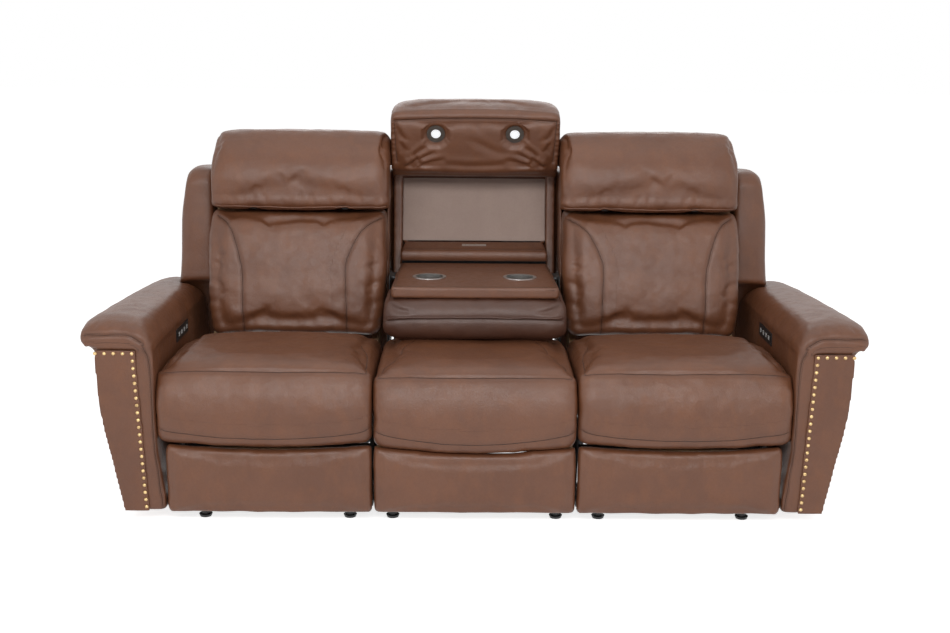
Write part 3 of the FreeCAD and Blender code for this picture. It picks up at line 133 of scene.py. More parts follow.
def white_world():
    world = bpy.data.worlds.new("Studio")
    scene.world = world
    world.use_nodes = True
    tree = world.node_tree
    tree.nodes.clear()
    lit = tree.nodes.new("ShaderNodeBackground")
    lit.inputs["Color"].default_value = (1.0, 1.0, 1.0, 1.0)
    lit.inputs["Strength"].default_value = WORLD_LIGHT
    ground = tree.nodes.new("ShaderNodeBackground")
    ground.inputs["Color"].default_value = (1.0, 1.0, 1.0, 1.0)
    ground.inputs["Strength"].default_value = 1.0
    mix = tree.nodes.new("ShaderNodeMixShader")
    out = tree.nodes.new("ShaderNodeOutputWorld")
    tree.links.new(shows_ground(tree), mix.inputs[0])
    tree.links.new(lit.outputs[0], mix.inputs[1])
    tree.links.new(ground.outputs[0], mix.inputs[2])
    tree.links.new(mix.outputs[0], out.inputs[0])


def pale_floor():
    mesh = bpy.data.meshes.new("Floor")
    half = 30.0
    corners = [(-half, -half, 0), (half, -half, 0), (half, half, 0), (-half, half, 0)]
    mesh.from_pydata(corners, [], [(0, 1, 2, 3)])
    floor = bpy.data.objects.new("Floor", mesh)
    scene.collection.objects.link(floor)
    material = bpy.data.materials.new("Pale floor")
    material.use_nodes = True
    tree = material.node_tree
    tree.nodes.clear()
    matt = tree.nodes.new("ShaderNodeBsdfDiffuse")
    matt.inputs["Color"].default_value = (FLOOR_GREY, FLOOR_GREY, FLOOR_GREY, 1.0)
    glow = tree.nodes.new("ShaderNodeEmission")
    glow.inputs["Color"].default_value = (1.0, 1.0, 1.0, 1.0)
    weight = tree.nodes.new("ShaderNodeMath")
    weight.operation = "MULTIPLY"
    weight.inputs[1].default_value = FLOOR_GLOW
    tree.links.new(shows_ground(tree), weight.inputs[0])
    tree.links.new(weight.outputs[0], glow.inputs["Strength"])
    both = tree.nodes.new("ShaderNodeAddShader")
    out = tree.nodes.new("ShaderNodeOutputMaterial")
    tree.links.new(matt.outputs[0], both.inputs[0])
    tree.links.new(glow.outputs[0], both.inputs[1])
    tree.links.new(both.outputs[0], out.inputs["Surface"])
    mesh.materials.append(material)


white_world()
pale_floor()
scene.view_settings.view_transform = "Standard"

# %% [markdown]
# Leather has three scales of detail: broad warm and dark clouds from the antique finish, a pebble
# grain of about 1.5 mm, and short creases. All three could be painted as pictures, but noise
# nodes stay sharp at any distance and need no unwrapping. Each effect is a group, so that every
# leather and fabric on the sofa shares it with its own values.

# %% Helpers for shader groups
def socket(group, name, kind, default=None, out=False):
    socket_type = {"value": "NodeSocketFloat", "color": "NodeSocketColor"}[kind]
    side = "OUTPUT" if out else "INPUT"
    made = group.interface.new_socket(name=name, in_out=side, socket_type=socket_type)
    if default is not None:
        made.default_value = default


def new_group(name, ins, outs):
    group = bpy.data.node_groups.new(name, "ShaderNodeTree")
    for label, kind, default in ins:
        socket(group, label, kind, default)
    for label, kind in outs:
        socket(group, label, kind, out=True)
    return group, group.nodes.new("NodeGroupInput"), group.nodes.new("NodeGroupOutput")


def math_node(tree, operation, a, b=None):
    node = tree.nodes.new("ShaderNodeMath")
    node.operation = operation
    for i, value in enumerate((a, b)):
        if value is None:
            continue
        if isinstance(value, (int, float)):
            node.inputs[i].default_value = value
        else:
            tree.links.new(value, node.inputs[i])
    return node.outputs[0]


def ramp_value(tree, value, low, high):
    node = tree.nodes.new("ShaderNodeMapRange")
    node.interpolation_type = "SMOOTHSTEP"
    tree.links.new(value, node.inputs["Value"])
    node.inputs["From Min"].default_value = low
    node.inputs["From Max"].default_value = high
    return node.outputs["Result"]


def mix_color(tree, factor, a, b):
    node = tree.nodes.new("ShaderNodeMix")
    node.data_type = "RGBA"
    for socket_index, value in ((0, factor), (6, a), (7, b)):
        if isinstance(value, (int, float, tuple)):
            node.inputs[socket_index].default_value = value
        else:
            tree.links.new(value, node.inputs[socket_index])
    return node.outputs[2]


def noise_at(tree, scale, detail=4.0, rough=0.55, stretch=None):
    where = tree.nodes.new("ShaderNodeTexCoord").outputs["Object"]
    if stretch:
        mapping = tree.nodes.new("ShaderNodeMapping")
        mapping.inputs["Scale"].default_value = stretch
        tree.links.new(where, mapping.inputs["Vector"])
        where = mapping.outputs[0]
    node = tree.nodes.new("ShaderNodeTexNoise")
    tree.links.new(where, node.inputs["Vector"])
    if isinstance(scale, (int, float)):
        node.inputs["Scale"].default_value = scale
    else:
        tree.links.new(scale, node.inputs["Scale"])
    node.inputs["Detail"].default_value = detail
    node.inputs["Roughness"].default_value = rough
    return node.outputs["Fac"]


# %% Shared effects: clouds, grain, seams and scuffs
STREAKS_PER_METRE = 26.0
SPECKS_PER_METRE = 150.0
PEBBLES_PER_METRE = 620.0
CREASES_PER_METRE = 95.0
WRINKLES_PER_METRE = 70.0
FOLD_HALF = 0.0014
SEAM_SHADE = 0.022
THREAD_HALF = 0.0012


def clouds_group():
    group, gin, gout = new_group(
        "Antique clouds",
        [("Base", "color", (0.15, 0.07, 0.04, 1)), ("Dark", "color", (0.08, 0.03, 0.02, 1)),
         ("Warm", "color", (0.2, 0.08, 0.03, 1)), ("Amount", "value", 1.0), ("Scale", "value", 7.0)],
        [("Color", "color")])
    broad = ramp_value(group, noise_at(group, gin.outputs["Scale"], 3.0, 0.5), 0.36, 0.66)
    streaks = noise_at(group, STREAKS_PER_METRE, 5.0, 0.62, (1.0, 1.0, 0.55))
    streaks = ramp_value(group, streaks, 0.44, 0.70)
    specks = ramp_value(group, noise_at(group, SPECKS_PER_METRE, 3.0, 0.6), 0.40, 0.66)
    dark = math_node(group, "MULTIPLY", broad, 0.42)
    dark = math_node(group, "MULTIPLY", dark, gin.outputs["Amount"])
    first = mix_color(group, dark, gin.outputs["Base"], gin.outputs["Dark"])
    warm = math_node(group, "MULTIPLY", streaks, 0.38)
    warm = math_node(group, "MULTIPLY", warm, gin.outputs["Amount"])
    second = mix_color(group, warm, first, gin.outputs["Warm"])
    fine = math_node(group, "MULTIPLY", specks, 0.16)
    third = mix_color(group, fine, second, gin.outputs["Dark"])
    group.links.new(third, gout.inputs["Color"])
    return group


def grain_group():
    group, gin, gout = new_group(
        "Pebble grain",
        [("Scale", "value", PEBBLES_PER_METRE), ("Crease", "value", 0.6)],
        [("Height", "value")])
    where = group.nodes.new("ShaderNodeTexCoord").outputs["Object"]
    cells = group.nodes.new("ShaderNodeTexVoronoi")
    cells.feature = "SMOOTH_F1"
    group.links.new(where, cells.inputs["Vector"])
    group.links.new(gin.outputs["Scale"], cells.inputs["Scale"])
    pebble = ramp_value(group, cells.outputs["Distance"], 0.75, 0.1)
    lines = group.nodes.new("ShaderNodeTexVoronoi")
    lines.feature = "DISTANCE_TO_EDGE"
    group.links.new(where, lines.inputs["Vector"])
    lines.inputs["Scale"].default_value = CREASES_PER_METRE
    crease = ramp_value(group, lines.outputs["Distance"], 0.0, 0.09)
    crease = math_node(group, "MULTIPLY", crease, gin.outputs["Crease"])
    waves = math_node(group, "MULTIPLY", noise_at(group, WRINKLES_PER_METRE, 4.0, 0.6), 1.6)
    total = math_node(group, "ADD", pebble, crease)
    total = math_node(group, "ADD", total, waves)
    group.links.new(total, gout.inputs["Height"])
    return group


def seam_group():
    """Reads how far a point lies from the nearest seam, and draws the fold, two rows of stitches and
    painted shade beside the seam.
    """
    group, gin, gout = new_group(
        "Stitched seam",
        [("Rows apart", "value", 0.0042), ("Pitch", "value", 0.0075)],
        [("Fold", "value"), ("Thread", "value"), ("Painted shade", "value"), ("Height", "value")])
    read = {}
    for name in ("seam_on", "seam_d", "seam_s", "seam_rows"):
        node = group.nodes.new("ShaderNodeAttribute")
        node.attribute_name = name
        read[name] = node.outputs["Fac"]
    away = math_node(group, "ABSOLUTE", read["seam_d"])
    fold = math_node(group, "MULTIPLY", ramp_value(group, away, FOLD_HALF, 0.0003), read["seam_on"])
    # Painted shade: within SEAM_SHADE of a seam the colour is drawn towards the dark tone.
    painted_shade = math_node(group, "MULTIPLY", ramp_value(group, away, SEAM_SHADE, 0.0), read["seam_on"])
    row = math_node(group, "ABSOLUTE", math_node(group, "SUBTRACT", away, gin.outputs["Rows apart"]))
    row = ramp_value(group, row, THREAD_HALF, 0.0005)
    turn = math_node(group, "FRACT", math_node(group, "DIVIDE", read["seam_s"], gin.outputs["Pitch"]))
    from_middle = math_node(group, "ABSOLUTE", math_node(group, "SUBTRACT", turn, 0.5))
    dash = ramp_value(group, from_middle, 0.40, 0.30)
    thread = math_node(group, "MULTIPLY", row, dash)
    thread = math_node(group, "MULTIPLY", thread, read["seam_rows"])
    thread = math_node(group, "MULTIPLY", thread, read["seam_on"])
    height = math_node(group, "SUBTRACT", thread, math_node(group, "MULTIPLY", fold, 2.0))
    for name, value in (("Fold", fold), ("Thread", thread), ("Painted shade", painted_shade), ("Height", height)):
        group.links.new(value, gout.inputs[name])
    return group


def scuff_group():
    group, gin, gout = new_group("Scuffs", [("Scale", "value", 40.0)], [("Mask", "value")])
    mask = ramp_value(group, noise_at(group, gin.outputs["Scale"], 6.0, 0.7), 0.42, 0.72)
    group.links.new(mask, gout.inputs["Mask"])
    return group


CLOUDS = clouds_group()
GRAIN = grain_group()
SEAM = seam_group()
SCUFF = scuff_group()
print("shared effects:", [g.name for g in (CLOUDS, GRAIN, SEAM, SCUFF)])

# %% [markdown]
# The leather itself: clouds in the colour, a dark line in each seam with painted shade beside it,
# grain in the bump, and a soft sheen. The console cushion has the same leather with a darker base
# colour, painted shade from the table above it, and a little smoother; both come from one function.

# %% Leather
def place_group(tree, group, **values):
    node = tree.nodes.new("ShaderNodeGroup")
    node.node_tree = group
    for name, value in values.items():
        node.inputs[name.replace("_", " ")].default_value = value
    return node


def new_material(name):
    material = bpy.data.materials.new(name)
    material.use_nodes = True
    tree = material.node_tree
    return material, tree, tree.nodes["Principled BSDF"]


def bump(tree, height, distance, strength=1.0, after=None):
    node = tree.nodes.new("ShaderNodeBump")
    node.inputs["Distance"].default_value = distance
    node.inputs["Strength"].default_value = strength
    tree.links.new(height, node.inputs["Height"])
    if after is not None:
        tree.links.new(after, node.inputs["Normal"])
    return node.outputs["Normal"]


def leather(name, base, dark, warm, rough=0.39, amount=1.0, grain=0.00035):
    material, tree, shader = new_material(name)
    clouds = place_group(tree, CLOUDS, Base=base, Dark=dark, Warm=warm, Amount=amount)
    seam = place_group(tree, SEAM)
    pebble = place_group(tree, GRAIN)
    scuff = place_group(tree, SCUFF)
    # Painted shade beside each seam: up to a fifth of the way to the dark colour.
    painted_shade = math_node(tree, "MULTIPLY", seam.outputs["Painted shade"], 0.20)
    color = mix_color(tree, painted_shade, clouds.outputs["Color"], dark)
    color = mix_color(tree, seam.outputs["Fold"], color, (0.040, 0.016, 0.009, 1))
    thread = math_node(tree, "MULTIPLY", seam.outputs["Thread"], 0.55)
    color = mix_color(tree, thread, color, (0.055, 0.026, 0.015, 1))
    tree.links.new(color, shader.inputs["Base Color"])
    shine = math_node(tree, "MULTIPLY", scuff.outputs["Mask"], 0.10)
    shine = math_node(tree, "ADD", shine, rough)
    shine = math_node(tree, "ADD", shine, math_node(tree, "MULTIPLY", seam.outputs["Fold"], 0.3))
    tree.links.new(shine, shader.inputs["Roughness"])
    first = bump(tree, pebble.outputs["Height"], grain, 0.55)
    tree.links.new(bump(tree, seam.outputs["Height"], 0.0009, 0.9, first), shader.inputs["Normal"])
    shader.inputs["Specular IOR Level"].default_value = 0.55
    return material


LEATHER = leather("Brown leather", (0.158, 0.060, 0.028, 1), (0.098, 0.034, 0.015, 1),
                  (0.196, 0.070, 0.026, 1))
# Painted shade: the console cushion lies under the table, so its leather is a darker copy of the brown
# leather.
SHADED_CONSOLE_LEATHER = leather("Shaded console leather", (0.082, 0.033, 0.019, 1), (0.050, 0.019, 0.012, 1),
                        (0.105, 0.040, 0.020, 1), rough=0.42, amount=0.8)
print("leathers:", LEATHER.name, "and", SHADED_CONSOLE_LEATHER.name)

# %% [markdown]
# The other finishes: a napped lining behind the console, aged brass nails, brushed stainless cups,
# black moulded plastic, powder-coated steel, raw plywood and the frosted lenses of the lamps.

# %% Lining, metals, plastics and wood
def lining():
    material, tree, shader = new_material("Napped lining")
    clouds = place_group(tree, CLOUDS, Base=(0.47, 0.355, 0.305, 1), Dark=(0.37, 0.270, 0.230, 1),
                         Warm=(0.50, 0.370, 0.300, 1), Amount=0.55, Scale=16.0)
    weave = noise_at(tree, 900.0, 2.0, 0.7)
    nap = math_node(tree, "MULTIPLY", weave, 0.25)
    color = mix_color(tree, nap, clouds.outputs["Color"], (0.24, 0.17, 0.15, 1))
    tree.links.new(color, shader.inputs["Base Color"])
    tree.links.new(bump(tree, weave, 0.0005, 0.7), shader.inputs["Normal"])
    shader.inputs["Roughness"].default_value = 0.92
    shader.inputs["Sheen Weight"].default_value = 0.25
    return material


def metal(name, color, worn, rough, stretch=None, scale=180.0, distance=0.00008):
    material, tree, shader = new_material(name)
    scuff = place_group(tree, SCUFF, Scale=120.0)
    tree.links.new(mix_color(tree, scuff.outputs["Mask"], color, worn), shader.inputs["Base Color"])
    brush = noise_at(tree, scale, 3.0, 0.6, stretch)
    shine = math_node(tree, "ADD", math_node(tree, "MULTIPLY", brush, 0.16), rough)
    tree.links.new(shine, shader.inputs["Roughness"])
    tree.links.new(bump(tree, brush, distance, 0.5), shader.inputs["Normal"])
    shader.inputs["Metallic"].default_value = 1.0
    return material


def plain(name, color, worn, rough, grain_scale=500.0, distance=0.00012, stretch=None):
    material, tree, shader = new_material(name)
    scuff = place_group(tree, SCUFF, Scale=60.0)
    grain = noise_at(tree, grain_scale, 3.0, 0.6, stretch)
    color = mix_color(tree, math_node(tree, "MULTIPLY", scuff.outputs["Mask"], 0.6), color, worn)
    tree.links.new(color, shader.inputs["Base Color"])
    shine = math_node(tree, "ADD", math_node(tree, "MULTIPLY", scuff.outputs["Mask"], 0.12), rough)
    tree.links.new(shine, shader.inputs["Roughness"])
    tree.links.new(bump(tree, grain, distance, 0.5), shader.inputs["Normal"])
    return material


def plywood():
    material, tree, shader = new_material("Plywood")
    fibre = noise_at(tree, 40.0, 6.0, 0.65, (0.35, 6.0, 6.0))
    color = mix_color(tree, fibre, (0.50, 0.34, 0.19, 1), (0.31, 0.185, 0.095, 1))
    tree.links.new(color, shader.inputs["Base Color"])
    tree.links.new(bump(tree, fibre, 0.0003, 0.6), shader.inputs["Normal"])
    shader.inputs["Roughness"].default_value = 0.7
    return material


def lens():
    material, tree, shader = new_material("Frosted lens")
    ring = noise_at(tree, 300.0, 2.0, 0.5)
    color = mix_color(tree, ring, (0.86, 0.88, 0.90, 1), (0.97, 0.98, 1.0, 1))
    tree.links.new(color, shader.inputs["Base Color"])
    tree.links.new(color, shader.inputs["Emission Color"])
    shader.inputs["Emission Strength"].default_value = 0.35
    shader.inputs["Roughness"].default_value = 0.25
    return material


LINING = lining()
BRASS = metal("Aged brass", (0.72, 0.52, 0.26, 1), (0.30, 0.18, 0.08, 1), 0.24)
STAINLESS = metal("Brushed stainless", (0.56, 0.55, 0.53, 1), (0.40, 0.39, 0.38, 1), 0.22,
                  (1.0, 1.0, 14.0))
SATIN = metal("Satin steel", (0.66, 0.64, 0.61, 1), (0.5, 0.48, 0.46, 1), 0.25, (0.2, 8.0, 8.0))
BLACK_PLASTIC = plain("Black plastic", (0.012, 0.012, 0.013, 1), (0.028, 0.027, 0.026, 1), 0.36)
BEZEL_PLASTIC = plain("Bezel plastic", (0.050, 0.038, 0.030, 1), (0.10, 0.08, 0.065, 1), 0.32)
BUTTON_PLASTIC = plain("Button plastic", (0.42, 0.42, 0.41, 1), (0.30, 0.30, 0.29, 1), 0.42)
BLACK_STEEL = plain("Black coated steel", (0.016, 0.016, 0.017, 1), (0.05, 0.048, 0.045, 1), 0.42,
                    240.0, 0.0002)
PLYWOOD = plywood()
LENS = lens()
FINISH = {
    "leather": LEATHER, "cushion_leather": SHADED_CONSOLE_LEATHER, "suede_liner": LINING, "brass_nails": BRASS,
    "black_plastic": BLACK_PLASTIC, "button_plastic": BUTTON_PLASTIC, "black_steel": BLACK_STEEL,
    "plywood": PLYWOOD, "stainless": STAINLESS, "satin_steel": SATIN, "lens": LENS,
}

# %% [markdown]
# The solids that keep their own shape, such as nails, cups, plates, links and boards, only need
# their finish. A short table of name parts says which finish a node takes.

# %% Finishes on the solids
def slot_of(node_name):
    """The finish slot of a node, by the kind of piece it is."""
    kinds = [
        ("nailheads", "brass_nails"), ("cup_holders", "stainless"), ("lid_pull", "satin_steel"),
        ("lamp_lenses", "lens"), ("switch_panel", "black_plastic"), ("lamp_bezels", "black_plastic"),
        ("button", "button_plastic"), ("floor_glides", "black_plastic"), ("recess_liner", "suede_liner"),
        ("console_box", "black_plastic"), ("footrest_board", "plywood"), ("seat_frames", "plywood"),
        ("back_frame", "plywood"), ("base_rails", "black_steel"), ("mechanism", "black_steel"),
        ("links", "black_steel"), ("hinge", "black_steel"), ("motors", "black_steel"),
        ("console_cushion", "cushion_leather"),
    ]
    for part, slot in kinds:
        if part in node_name:
            return slot
    return "leather"


for node_name, node in nodes.items():
    finish = FINISH[slot_of(node_name)]
    if node_name == "lamp_bezels":
        finish = BEZEL_PLASTIC
    if not node.data.materials:
        node.data.materials.append(finish)
    for material_slot in node.material_slots:
        material_slot.material = finish
print("solids with a finish:", len(nodes))

# %% [markdown]
# A padded piece starts as a copy of its solid. A voxel remesh gives it an even skin, a little
# smoothing rounds its edges, and a short cloth simulation with air pressure fills it, as foam fills
# a sewn cover. Sculpting by hand could do the same, but the simulation puts the fullness where the
# cover is widest, which is what real cushions do. Points may move only so far, so that each piece
# stays clear of its neighbours, and a part of their move that would draw the cover in is left out.

# %% Helpers for soft pieces
FILL_FRAMES = 20
COVER_STIFFNESS = 30.0
COVER_BENDING = 2.0
WELD_REACH = 0.00002


def points_of(obj):
    out = np.empty(len(obj.data.vertices) * 3)
    obj.data.vertices.foreach_get("co", out)
    return out.reshape(-1, 3)


def normals_of(obj):
    out = np.empty(len(obj.data.vertices) * 3)
    obj.data.vertex_normals.foreach_get("vector", out)
    return out.reshape(-1, 3)


def move_points(obj, points):
    obj.data.vertices.foreach_set("co", np.asarray(points, float).ravel())
    obj.data.update()


def shade_smooth(mesh):
    mesh.polygons.foreach_set("use_smooth", [True] * len(mesh.polygons))


def settle(obj):
    """Applies every modifier of obj."""
    seen = obj.evaluated_get(bpy.context.evaluated_depsgraph_get())
    mesh = bpy.data.meshes.new_from_object(seen)
    obj.modifiers.clear()
    obj.data = mesh
    return obj


def from_solid(name, *node_names):
    """One object from copies of the named solids."""
    verts = []
    faces = []
    for node_name in node_names:
        mesh = nodes[node_name].data
        start = len(verts)
        verts += [tuple(v.co) for v in mesh.vertices]
        faces += [tuple(i + start for i in p.vertices) for p in mesh.polygons]
    mesh = bpy.data.meshes.new(name)
    mesh.from_pydata(verts, [], faces)
    obj = bpy.data.objects.new(name, mesh)
    scene.collection.objects.link(obj)
    return obj


def even_skin(obj, voxel, rounds=4, draw_in=0.0):
    """Voxel remesh, smoothed, and drawn in along its normals."""
    weld = obj.modifiers.new("Weld", "WELD")
    weld.merge_threshold = WELD_REACH
    remesh = obj.modifiers.new("Remesh", "REMESH")
    remesh.mode = "VOXEL"
    remesh.voxel_size = voxel
    smooth = obj.modifiers.new("Smooth", "SMOOTH")
    smooth.factor = 0.5
    smooth.iterations = rounds
    settle(obj)
    if draw_in:
        move_points(obj, points_of(obj) - normals_of(obj) * draw_in)
    return obj


def fill(obj, pressure=4.0, cap=0.024, still=None):
    """Swells obj like a filled cover; still gives 1 where a point may not move."""
    start = points_of(obj)
    outward = normals_of(obj)
    cloth = obj.modifiers.new("Cloth", "CLOTH")
    cloth.settings.use_pressure = True
    cloth.settings.uniform_pressure_force = pressure
    cloth.settings.effector_weights.gravity = 0.0
    cloth.settings.tension_stiffness = COVER_STIFFNESS
    cloth.settings.compression_stiffness = COVER_STIFFNESS
    cloth.settings.bending_stiffness = COVER_BENDING
    cloth.point_cache.frame_start = 1
    cloth.point_cache.frame_end = FILL_FRAMES
    for frame_number in range(1, FILL_FRAMES + 1):
        scene.frame_set(frame_number)
    settle(obj)
    scene.frame_set(1)
    move = points_of(obj) - start
    inward = np.minimum(0.0, np.einsum("pk,pk->p", move, outward))
    move = move - outward * inward[:, None]
    far = np.linalg.norm(move, axis=1, keepdims=True)
    keep = np.minimum(1.0, cap / np.maximum(far, 1e-9))
    if still is not None:
        keep = keep * (1.0 - still(start))[:, None]
    move_points(obj, start + move * keep)
    return obj


def inside_box(obj, low, high):
    """Keeps the points of obj between two corners, given in metres."""
    move_points(obj, np.clip(points_of(obj), np.array(low), np.array(high)))
    return obj


def finer(obj):
    """Splits every face once, so that folds and seams have enough points."""
    subdivision = obj.modifiers.new("Subdivision", "SUBSURF")
    subdivision.levels = 1
    subdivision.render_levels = 1
    settle(obj)
    shade_smooth(obj.data)
    return obj


def waves(obj, amount, size, seed):
    """Slow dents and swells in the cover, different at every place."""
    points = points_of(obj)
    normals = normals_of(obj)
    shift = Vector((seed * 3.1, seed * 1.7, seed * 0.9))
    small = size * 0.45
    lift = np.array([
        noise.noise(Vector(p) / size + shift) + 0.5 * noise.noise(Vector(p) / small - shift)
        for p in points
    ])
    move_points(obj, points + normals * (lift * amount)[:, None])
    return obj


# %% [markdown]
# A sewn seam pulls the cover down into a groove, and a line of thread follows it on each side.
# The groove is real geometry. The line and the stitches are too fine for the mesh, so each point
# also stores how far it lies from the seam and how far along it, and the leather draws them.

# %% Helpers for seams, creases and piping
REACH = 0.045


def smooth_line(points, step=0.008):
    """Catmull-Rom line through the points, as evenly spaced samples."""
    pts = [Vector(p) for p in points]
    pts = [pts[0] * 2 - pts[1]] + pts + [pts[-1] * 2 - pts[-2]]
    line = []
    for a, b, c, d in zip(pts, pts[1:], pts[2:], pts[3:]):
        count = max(2, int((c - b).length / step))
        for i in range(count):
            t = i / count
            line.append(0.5 * ((2 * b) + (c - a) * t + (2 * a - 5 * b + 4 * c - d) * t * t
                               + (3 * b - a - 3 * c + d) * t * t * t))
    line.append(pts[-2])
    return line


def on_surface(obj, line):
    mesh = obj.data
    tree = BVHTree.FromPolygons([v.co for v in mesh.vertices], [p.vertices for p in mesh.polygons])
    found = [tree.find_nearest(p) for p in line]
    return np.array([f[0] for f in found]), np.array([f[1] for f in found])


def near_line(obj, line):
    """For points near the line: index, signed distance from it, place along it, and its length."""
    path, facing = on_surface(obj, line)
    points = points_of(obj)
    normals = normals_of(obj)
    low = path.min(axis=0) - REACH
    high = path.max(axis=0) + REACH
    near = np.where(np.all((points > low) & (points < high), axis=1))[0]
    steps = path[1:] - path[:-1]
    lengths = np.maximum(np.linalg.norm(steps, axis=1), 1e-6)
    along = np.concatenate([[0.0], np.cumsum(lengths)])
    offset = points[near][:, None, :] - path[:-1][None]
    share = np.clip(np.einsum("psk,sk->ps", offset, steps) / lengths ** 2, 0, 1)
    gap = offset - share[..., None] * steps[None]
    best = np.argmin(np.einsum("psk,psk->ps", gap, gap), axis=1)
    rows = np.arange(len(near))
    gap = gap[rows, best]
    share = share[rows, best]
    whole = np.linalg.norm(gap, axis=1)
    own = normals[near]
    flat = gap - own * np.einsum("pk,pk->p", gap, own)[:, None]
    side = np.sign(np.einsum("pk,pk->p", np.cross(steps[best], own), gap))
    distance = np.linalg.norm(flat, axis=1) * np.where(side == 0, 1, side)
    faces_same = np.einsum("pk,pk->p", own, facing[best]) > 0.1
    good = faces_same & (whole < REACH)
    place = along[best] + share * lengths[best]
    return near[good], distance[good], place[good], along[-1]


def attribute(obj, name):
    have = obj.data.attributes.get(name)
    return have or obj.data.attributes.new(name, "FLOAT", "POINT")


def seam(obj, points, depth=0.003, width=0.007, rows=1.0):
    """Sinks a groove along the points and stores what the leather needs to draw the seam."""
    who, distance, place, _ = near_line(obj, smooth_line(points))
    pos = points_of(obj)
    pos[who] -= normals_of(obj)[who] * (depth * np.exp(-(distance / width) ** 2))[:, None]
    move_points(obj, pos)
    count = len(obj.data.vertices)
    values = {}
    for name in ("seam_on", "seam_d", "seam_s", "seam_rows"):
        values[name] = np.zeros(count)
        attribute(obj, name).data.foreach_get("value", values[name])
    values["seam_d"][values["seam_on"] == 0] = REACH
    closer = np.abs(distance) < np.abs(values["seam_d"][who])
    chosen = who[closer]
    values["seam_on"][chosen] = 1.0
    values["seam_d"][chosen] = distance[closer]
    values["seam_s"][chosen] = place[closer]
    values["seam_rows"][chosen] = rows
    for name, value in values.items():
        attribute(obj, name).data.foreach_set("value", value)
    return obj


def crease(obj, points, depth=0.003, width=0.008, ridge=0.35):
    """A fold in the cover that fades at both ends, with a low ridge beside it."""
    who, distance, place, total = near_line(obj, smooth_line(points))
    fade = np.sin(np.pi * np.clip(place / max(total, 1e-6), 0, 1)) ** 0.7
    down = np.exp(-(distance / width) ** 2)
    up = ridge * np.exp(-((np.abs(distance) - 2.0 * width) / width) ** 2)
    pos = points_of(obj)
    pos[who] -= normals_of(obj)[who] * (depth * fade * (down - up))[:, None]
    move_points(obj, pos)
    return obj


def piping(name, obj, points, radius=0.0028, lift=0.0005):
    """Round cord sewn into a seam, laid on the surface of obj."""
    path, facing = on_surface(obj, smooth_line(points, 0.012))
    data = bpy.data.curves.new(name, "CURVE")
    data.dimensions = "3D"
    data.bevel_depth = radius
    data.bevel_resolution = 2
    data.use_fill_caps = True
    spline = data.splines.new("POLY")
    spline.points.add(len(path) - 1)
    for item, p, n in zip(spline.points, path, facing):
        item.co = (*(p + n * lift), 1.0)
    curve = bpy.data.objects.new(name, data)
    scene.collection.objects.link(curve)
    mesh = bpy.data.meshes.new_from_object(curve.evaluated_get(bpy.context.evaluated_depsgraph_get()))
    bpy.data.objects.remove(curve)
    tube = bpy.data.objects.new(name, mesh)
    scene.collection.objects.link(tube)
    shade_smooth(mesh)
    return tube


# %% Helpers for finishing a piece
def mirror_copy(obj, name):
    """The same piece on the other side of the sofa."""
    mesh = obj.data.copy()
    mesh.transform(Matrix.Scale(-1.0, 4, (1.0, 0.0, 0.0)))
    mesh.flip_normals()
    twin = bpy.data.objects.new(name, mesh)
    scene.collection.objects.link(twin)
    return twin


def dress(obj, body, material, replaced=()):
    """Gives a finished piece its material and body, and hides the solids it stands for."""
    obj.data.materials.clear()
    obj.data.materials.append(material)
    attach(obj, body)
    if replaced:
        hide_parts(*replaced)
    print(obj.name, len(obj.data.polygons), "faces on", body)
    return obj


def both_sides(obj, stem, body, replaced=(), change=None):
    """Dresses a +X piece and its mirrored twin; change adds each one's own dents."""
    obj.name = stem + "_right"
    twin = mirror_copy(obj, stem + "_left")
    for item, side in ((obj, "_right"), (twin, "_left")):
        if change:
            change(item)
        where = body if body == "base" else body + side
        dress(item, where, LEATHER, [n + side for n in replaced])
    return obj, twin


# %% [markdown]
# The seats. Each is a thick cushion with a front roll that hangs over the panel below it. A seam
# runs across where the top meets the roll, a second seam follows its lower edge, and two short
# seams run back from the front corners. The cover is full in the middle and drawn in at its sides.

# %% Seats
SEAM_Y = -0.470
LIP_Y = -0.512


def seat(name, node_name, top_line, low_line, corner_seams, seed):
    obj = from_solid(name, node_name)
    low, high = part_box(node_name)
    even_skin(obj, 0.012, 5)
    fill(obj, 5.0, 0.020, lambda p: np.clip((0.33 - p[:, 2]) / 0.03, 0, 1) * (p[:, 1] > -0.40))
    inside_box(obj, (low.x + 0.0005, low.y - 0.010, low.z),
               (high.x - 0.0005, high.y + 0.004, high.z + 0.006))
    finer(obj)
    waves(obj, 0.0022, 0.10, seed)
    seam(obj, [(x, SEAM_Y, z) for x, z in top_line], 0.0045, 0.007, rows=0.0)
    seam(obj, [(x, LIP_Y, z) for x, z in low_line], 0.0030, 0.006, rows=0.0)
    for line in corner_seams:
        seam(obj, line, 0.0022, 0.006, rows=0.0)
    return obj


SIDE_TOP = [(0.310, 0.472), (0.424, 0.464), (0.599, 0.459), (0.802, 0.465), (0.924, 0.474)]
SIDE_LOW = [(0.303, 0.288), (0.423, 0.272), (0.598, 0.262), (0.743, 0.267), (0.922, 0.287)]
MIDDLE_TOP = [(-0.300, 0.456), (-0.160, 0.446), (0.0, 0.443), (0.160, 0.446), (0.300, 0.456)]
MIDDLE_LOW = [(-0.297, 0.283), (-0.160, 0.259), (0.0, 0.250), (0.160, 0.259), (0.297, 0.283)]
side_corners = [
    [(0.925, -0.455, 0.475), (0.921, -0.330, 0.475), (0.900, -0.200, 0.475)],
    [(0.308, -0.455, 0.475), (0.320, -0.330, 0.475), (0.350, -0.200, 0.475)],
]
middle_corners = [
    [(side * 0.297, -0.455, 0.46), (side * 0.243, -0.313, 0.47), (side * 0.190, -0.155, 0.47)]
    for side in (-1, 1)
]
seat_right = seat("seat_right", "seat_cushion_right", SIDE_TOP, SIDE_LOW, side_corners, 1)
